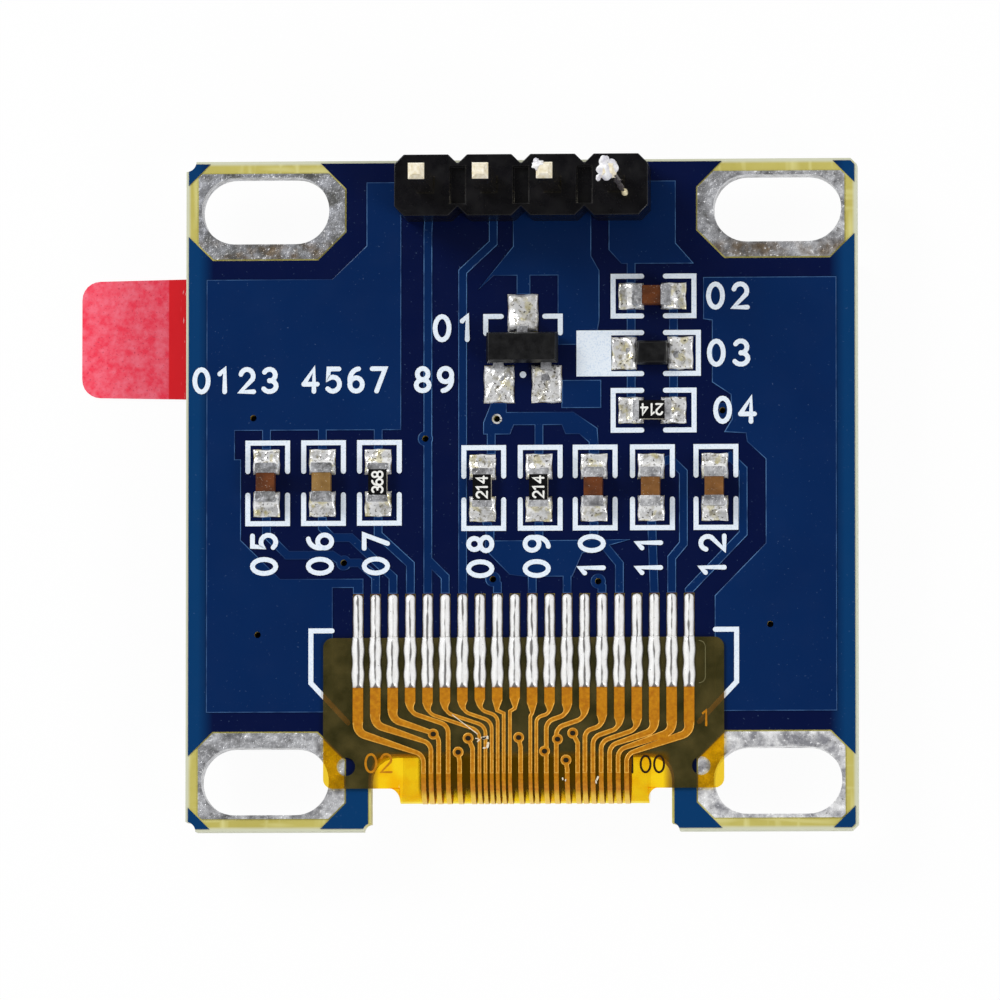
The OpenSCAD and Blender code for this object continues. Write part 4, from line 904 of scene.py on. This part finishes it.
def blob_mesh(name, blobs, seed):
    """Rough drops in one mesh. A drop is its middle and its three half sizes."""
    rng = np.random.default_rng(seed)
    bm = bmesh.new()
    for centre, radii in blobs:
        made = bmesh.ops.create_icosphere(bm, subdivisions=4, radius=1)["verts"]
        waves = [(rng.normal(0, 2.6, 3), rng.uniform(0, 6.3)) for _ in range(6)]
        for vert in made:
            swell = 1 + 0.07 * sum(math.sin(float(k @ np.array(vert.co)) + phase) for k, phase in waves)
            vert.co = Vector([(centre[i] + vert.co[i] * radii[i] * swell) * MM for i in range(3)])
    mesh = bpy.data.meshes.new(name)
    bm.to_mesh(mesh)
    bm.free()
    mesh.shade_smooth()
    return mesh


def blob_the_pins():
    """Drops of solder left on two pin tips, and a run of it down one corner of the last pin."""
    third, fourth = middle("header_pin_3"), middle("header_pin_4")
    tip = top_of("header_pin_4")
    f = Finish("pin_drops", Metallic=0.1, Roughness=0.5)
    cloud = f.noise(0.3, 4)
    colour = f.mix(f.step(cloud, 0.35, 0.65), rgb(206, 204, 214), rgb(255, 255, 255))
    f.set(Base_Color=colour, Normal=f.bump(cloud, 0.4, 0.05))
    drops = [((third.x - 0.2, third.y + 0.2, tip - 0.22), (0.24, 0.2, 0.2)),
             ((third.x - 0.3, third.y + 0.36, tip - 0.24), (0.13, 0.12, 0.12)),
             ((fourth.x - 0.05, fourth.y + 0.06, tip - 0.34), (0.42, 0.38, 0.36)),
             ((fourth.x - 0.12, fourth.y + 0.34, tip - 0.28), (0.24, 0.22, 0.2)),
             ((fourth.x - 0.38, fourth.y - 0.32, tip - 0.3), (0.1, 0.12, 0.1))]
    add_piece("pin_drops", blob_mesh("pin_drops", drops, 3), f.material, "solder")
    f = Finish("pin_run", Metallic=0.4, Roughness=0.4)
    tarnish = f.mix(f.noise(0.3, 3), rgb(46, 40, 40), rgb(104, 96, 94))
    f.set(Base_Color=f.mix(f.step(f.axis("Z"), 3.6 * MM, 3.2 * MM), tarnish, rgb(238, 226, 186)))
    run = [((fourth.x + 0.3, fourth.y - 0.3, z), (0.1 + 0.03 * math.sin(3 * z), 0.1, 0.45))
           for z in np.arange(3.4, tip - 0.4, 0.5)]
    run.append(((fourth.x + 0.37, fourth.y - 0.37, 3.05), (0.13, 0.14, 0.2)))
    add_piece("pin_run", blob_mesh("pin_run", run, 5), f.material, "solder")


blob_the_pins()


class Grower(Nodes):
    """A geometry node tree in the making, with named inputs for its sizes."""

    def __init__(self, name, sizes):
        super().__init__(bpy.data.node_groups.new(name, "GeometryNodeTree"))
        face = self.tree.interface
        self.ids = {}
        for label, kind, value in sizes:
            socket = face.new_socket(label, in_out="INPUT", socket_type="NodeSocket" + kind)
            if value is not None:
                socket.default_value = value
            self.ids[label] = socket.identifier
        face.new_socket("Geometry", in_out="OUTPUT", socket_type="NodeSocketGeometry")
        self.given = self.tree.nodes.new("NodeGroupInput").outputs

    def grow(self, name, values):
        """Plain mesh of the tree with the given values, without a live modifier."""
        start = bpy.data.meshes.new(name + "_start")
        carrier = bpy.data.objects.new(name + "_carrier", start)
        bpy.context.scene.collection.objects.link(carrier)
        modifier = carrier.modifiers.new(name, "NODES")
        modifier.node_group = self.tree
        for label, value in values.items():
            modifier[self.ids[label]] = value
        graph = bpy.context.evaluated_depsgraph_get()
        mesh = bpy.data.meshes.new_from_object(carrier.evaluated_get(graph), depsgraph=graph)
        mesh.name = name
        bpy.data.objects.remove(carrier)
        bpy.data.meshes.remove(start)
        return mesh


def tinned_finger_tree():
    """A row of tinned fingers: long ridges with bulges along them and a rippled top."""
    t = Grower("tinned_fingers", (
        ("Fingers", "Int", FINGER_COUNT), ("Pitch", "Float", FINGER_PITCH * MM),
        ("Width", "Float", 0.42 * MM), ("Length", "Float", 2 * MM),
        ("Crown", "Float", 0.12 * MM), ("Bulge", "Float", 0.12),
        ("Bulge Length", "Float", 1 * MM), ("Bulge Start", "Float", 0.0),
        ("Ripple", "Float", 0.16), ("Seed", "Float", 1.0),
        ("Round End", "Float", 0.0), ("Squareness", "Float", 24.0),
        ("Middle", "Vector", None), ("Solder", "Material", None),
    ))
    given = t.given
    size = t.add("ShaderNodeCombineXYZ", {0: given["Width"], 1: given["Length"], 2: given["Crown"]})
    bar = t.add("GeometryNodeMeshCube", {"Size": size.outputs[0], "Vertices X": 11, "Vertices Y": 41,
                                         "Vertices Z": 2})
    place = t.add("GeometryNodeInputPosition").outputs[0]
    kept = t.add("GeometryNodeStoreNamedAttribute", {"Geometry": bar.outputs["Mesh"], "Name": "in_finger"},
                 data_type="FLOAT_VECTOR", domain="POINT")
    t.feed([s for s in kept.inputs if s.name == "Value" and s.enabled][0], place)
    row = t.add("GeometryNodeMeshLine", {"Count": given["Fingers"]}, mode="OFFSET")
    t.feed(row.inputs["Offset"], t.add("ShaderNodeCombineXYZ", {0: given["Pitch"]}).outputs[0])
    copies = t.add("GeometryNodeInstanceOnPoints", {"Points": row.outputs["Mesh"],
                                                   "Instance": kept.outputs["Geometry"]})
    whole = t.add("GeometryNodeRealizeInstances", {"Geometry": copies.outputs["Instances"]})
    back = t.times(t.times(given["Pitch"], t.minus(given["Fingers"], 1.0)), -0.5)
    centred = t.add("GeometryNodeTransform", {"Geometry": whole.outputs["Geometry"]})
    shift = t.add("ShaderNodeVectorMath", {0: given["Middle"]}, operation="ADD")
    t.feed(shift.inputs[1], t.add("ShaderNodeCombineXYZ", {0: back}).outputs[0])
    t.feed(centred.inputs["Translation"], shift.outputs[0])
    inside = t.add("GeometryNodeInputNamedAttribute", {"Name": "in_finger"}, data_type="FLOAT_VECTOR")
    own = t.add("ShaderNodeSeparateXYZ", {0: [s for s in inside.outputs if s.enabled][0]})
    across = t.math("DIVIDE", own.outputs["X"], t.times(given["Width"], 0.5))
    along = t.math("ABSOLUTE", t.math("DIVIDE", own.outputs["Y"], t.times(given["Length"], 0.5)))
    dome = t.math("MULTIPLY_ADD", t.times(across, across), -0.88, 1.0)
    ends = t.minus(1.0, t.times(t.math("POWER", along, given["Squareness"]), 0.8))
    noise = t.add("ShaderNodeTexNoise", {"Scale": 2600.0, "Detail": 2.0, "W": given["Seed"]},
                  noise_dimensions="4D").outputs[0]
    ripple = t.math("MULTIPLY_ADD", t.minus(noise, 0.5), given["Ripple"], 1.0)
    tall = t.times(t.times(dome, ends), ripple)
    # Height over the finger's foot, so that the foot stays flat
    over = t.math("ADD", own.outputs["Z"], t.times(given["Crown"], 0.5))
    rise = t.times(over, t.minus(tall, 1.0))
    wave = t.math("DIVIDE", t.minus(own.outputs["Y"], given["Bulge Start"]), given["Bulge Length"])
    swing = t.math("COSINE", t.times(wave, 2 * math.pi))
    # The upper end narrows along an arc by the share in Round End
    half = t.times(given["Width"], 0.5)
    start = t.minus(t.times(given["Length"], 0.5), half)
    into = t.math("DIVIDE", t.math("MAXIMUM", t.minus(own.outputs["Y"], start), 0.0), half)
    arch = t.math("SQRT", t.math("MAXIMUM", t.minus(1.0, t.times(into, into)), 0.0))
    narrow = t.times(t.minus(arch, 1.0), given["Round End"])
    swell = t.math("ADD", t.times(swing, given["Bulge"]), narrow)
    offset = t.add("ShaderNodeCombineXYZ", {0: t.times(own.outputs["X"], swell), 2: rise}).outputs[0]
    shaped = t.add("GeometryNodeSetPosition", {"Geometry": centred.outputs["Geometry"], "Offset": offset})
    smooth = t.add("GeometryNodeSetShadeSmooth", {"Geometry": shaped.outputs["Geometry"]})
    coated = t.add("GeometryNodeSetMaterial", {"Geometry": smooth.outputs["Geometry"],
                                               "Material": given["Solder"]})
    t.add("NodeGroupOutput", {"Geometry": coated.outputs["Geometry"]})
    return t


def tin_the_fingers():
    """The flex's soldered fingers, and the tinned lands that run on from them."""
    tree = tinned_finger_tree()
    low, high = (Vector(corner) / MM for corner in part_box("finger_solder"))
    row_x = (low.x + high.x) / 2
    for name, width, ends, crown, foot, values in (
        ("soldered_fingers", 0.48, (low.y, high.y + 0.03), 0.15, low.z,
         {"Bulge": 0.09, "Bulge Start": 0.5 * MM}),
        ("tinned_lands", 0.4, (high.y - 0.15, -4.0), 0.14, top_of("land_tinning"),
         {"Bulge": 0.03, "Seed": 5.0, "Round End": 0.85, "Squareness": 9.0}),
    ):
        length = ends[1] - ends[0]
        notched = name == "soldered_fingers"
        finish = finger_tin_finish(name + "_tin", width / 2 * MM, length / 2 * MM if notched else 9 * MM)
        values.update({
            "Width": width * MM, "Length": length * MM, "Crown": crown * MM, "Solder": finish,
            "Middle": Vector((row_x, sum(ends) / 2, foot + crown / 2)) * MM,
        })
        mesh = tree.grow(name, values)
        add_piece(name, mesh, finish, "solder", *(["finger_solder"] if notched else []))


tin_the_fingers()


# --- The set: floor, backdrop and light ---
def white_set(name, strength):
    """Pale material that shows white to the camera, to mirrors and through film, and keeps a soft shadow."""
    material = bpy.data.materials.new(name)
    material.use_nodes = True
    material.node_tree.nodes.clear()
    t = Nodes(material.node_tree)
    rays = t.add("ShaderNodeLightPath").outputs
    also = t.math("MAXIMUM", rays["Is Glossy Ray"], rays["Is Transmission Ray"])
    seen = t.math("MAXIMUM", rays["Is Camera Ray"], also)
    matt = t.add("ShaderNodeBsdfDiffuse", {"Color": (0.9, 0.9, 0.9, 1)}).outputs[0]
    glow = t.add("ShaderNodeEmission", {"Color": (1, 1, 1, 1)}).outputs[0]
    mixed = t.add("ShaderNodeMixShader", {0: t.times(seen, strength), 1: matt, 2: glow})
    t.add("ShaderNodeOutputMaterial", {"Surface": mixed.outputs[0]})
    return material


def make_floor():
    """Wide level floor just under the part; its half side is in metres."""
    low, half = cad_box[0][2] - 0.02 * MM, 3.0
    corners = [(-half, -half, low), (half, -half, low), (half, half, low), (-half, half, low)]
    mesh = plain_mesh("floor", corners, [(0, 1, 2, 3)])
    mesh.materials.append(white_set("floor_white", 0.96))
    floor = bpy.data.objects.new("floor", mesh)
    bpy.context.scene.collection.objects.link(floor)


def light_the_set():
    """A sky that grows darker overhead, and two area lamps; their places and sizes are in metres."""
    world = bpy.data.worlds.new("studio")
    bpy.context.scene.world = world
    world.use_nodes = True
    t = Nodes(world.node_tree)
    place = t.add("ShaderNodeTexCoord").outputs["Generated"]
    ramp = t.add("ShaderNodeValToRGB", {0: t.add("ShaderNodeSeparateXYZ", {0: place}).outputs["Z"]})
    bands = ramp.color_ramp.elements
    bands[0].position, bands[0].color = 0.0, (0.42, 0.42, 0.43, 1)
    bands[1].position, bands[1].color = 1.0, (0.10, 0.10, 0.11, 1)
    for height, level in ((0.45, 0.75), (0.75, 0.6), (0.9, 0.16)):
        bands.new(height).color = (level, level, level * 1.01, 1)
    # The camera sees white; everything else is lit by the ramp
    camera_ray = t.add("ShaderNodeLightPath").outputs["Is Camera Ray"]
    mix = t.add("ShaderNodeMix", {0: camera_ray, 6: ramp.outputs[0], 7: (1, 1, 1, 1)}, data_type="RGBA")
    t.feed(t.tree.nodes["Background"].inputs["Color"], mix.outputs[2])
    for name, spot, size, power in (
        ("key", (-0.22, 0.18, 0.24), 0.14, 0.75),
        ("fill", (0.24, -0.14, 0.22), 0.12, 0.38),
    ):
        lamp = bpy.data.lights.new(name, "AREA")
        lamp.size, lamp.energy = size, power
        stand = bpy.data.objects.new(name, lamp)
        stand.location = spot
        stand.rotation_mode = "QUATERNION"
        stand.rotation_quaternion = (-Vector(spot)).to_track_quat("-Z", "Y")
        bpy.context.scene.collection.objects.link(stand)


make_floor()
light_the_set()
bpy.context.scene.view_settings.view_transform = "Standard"
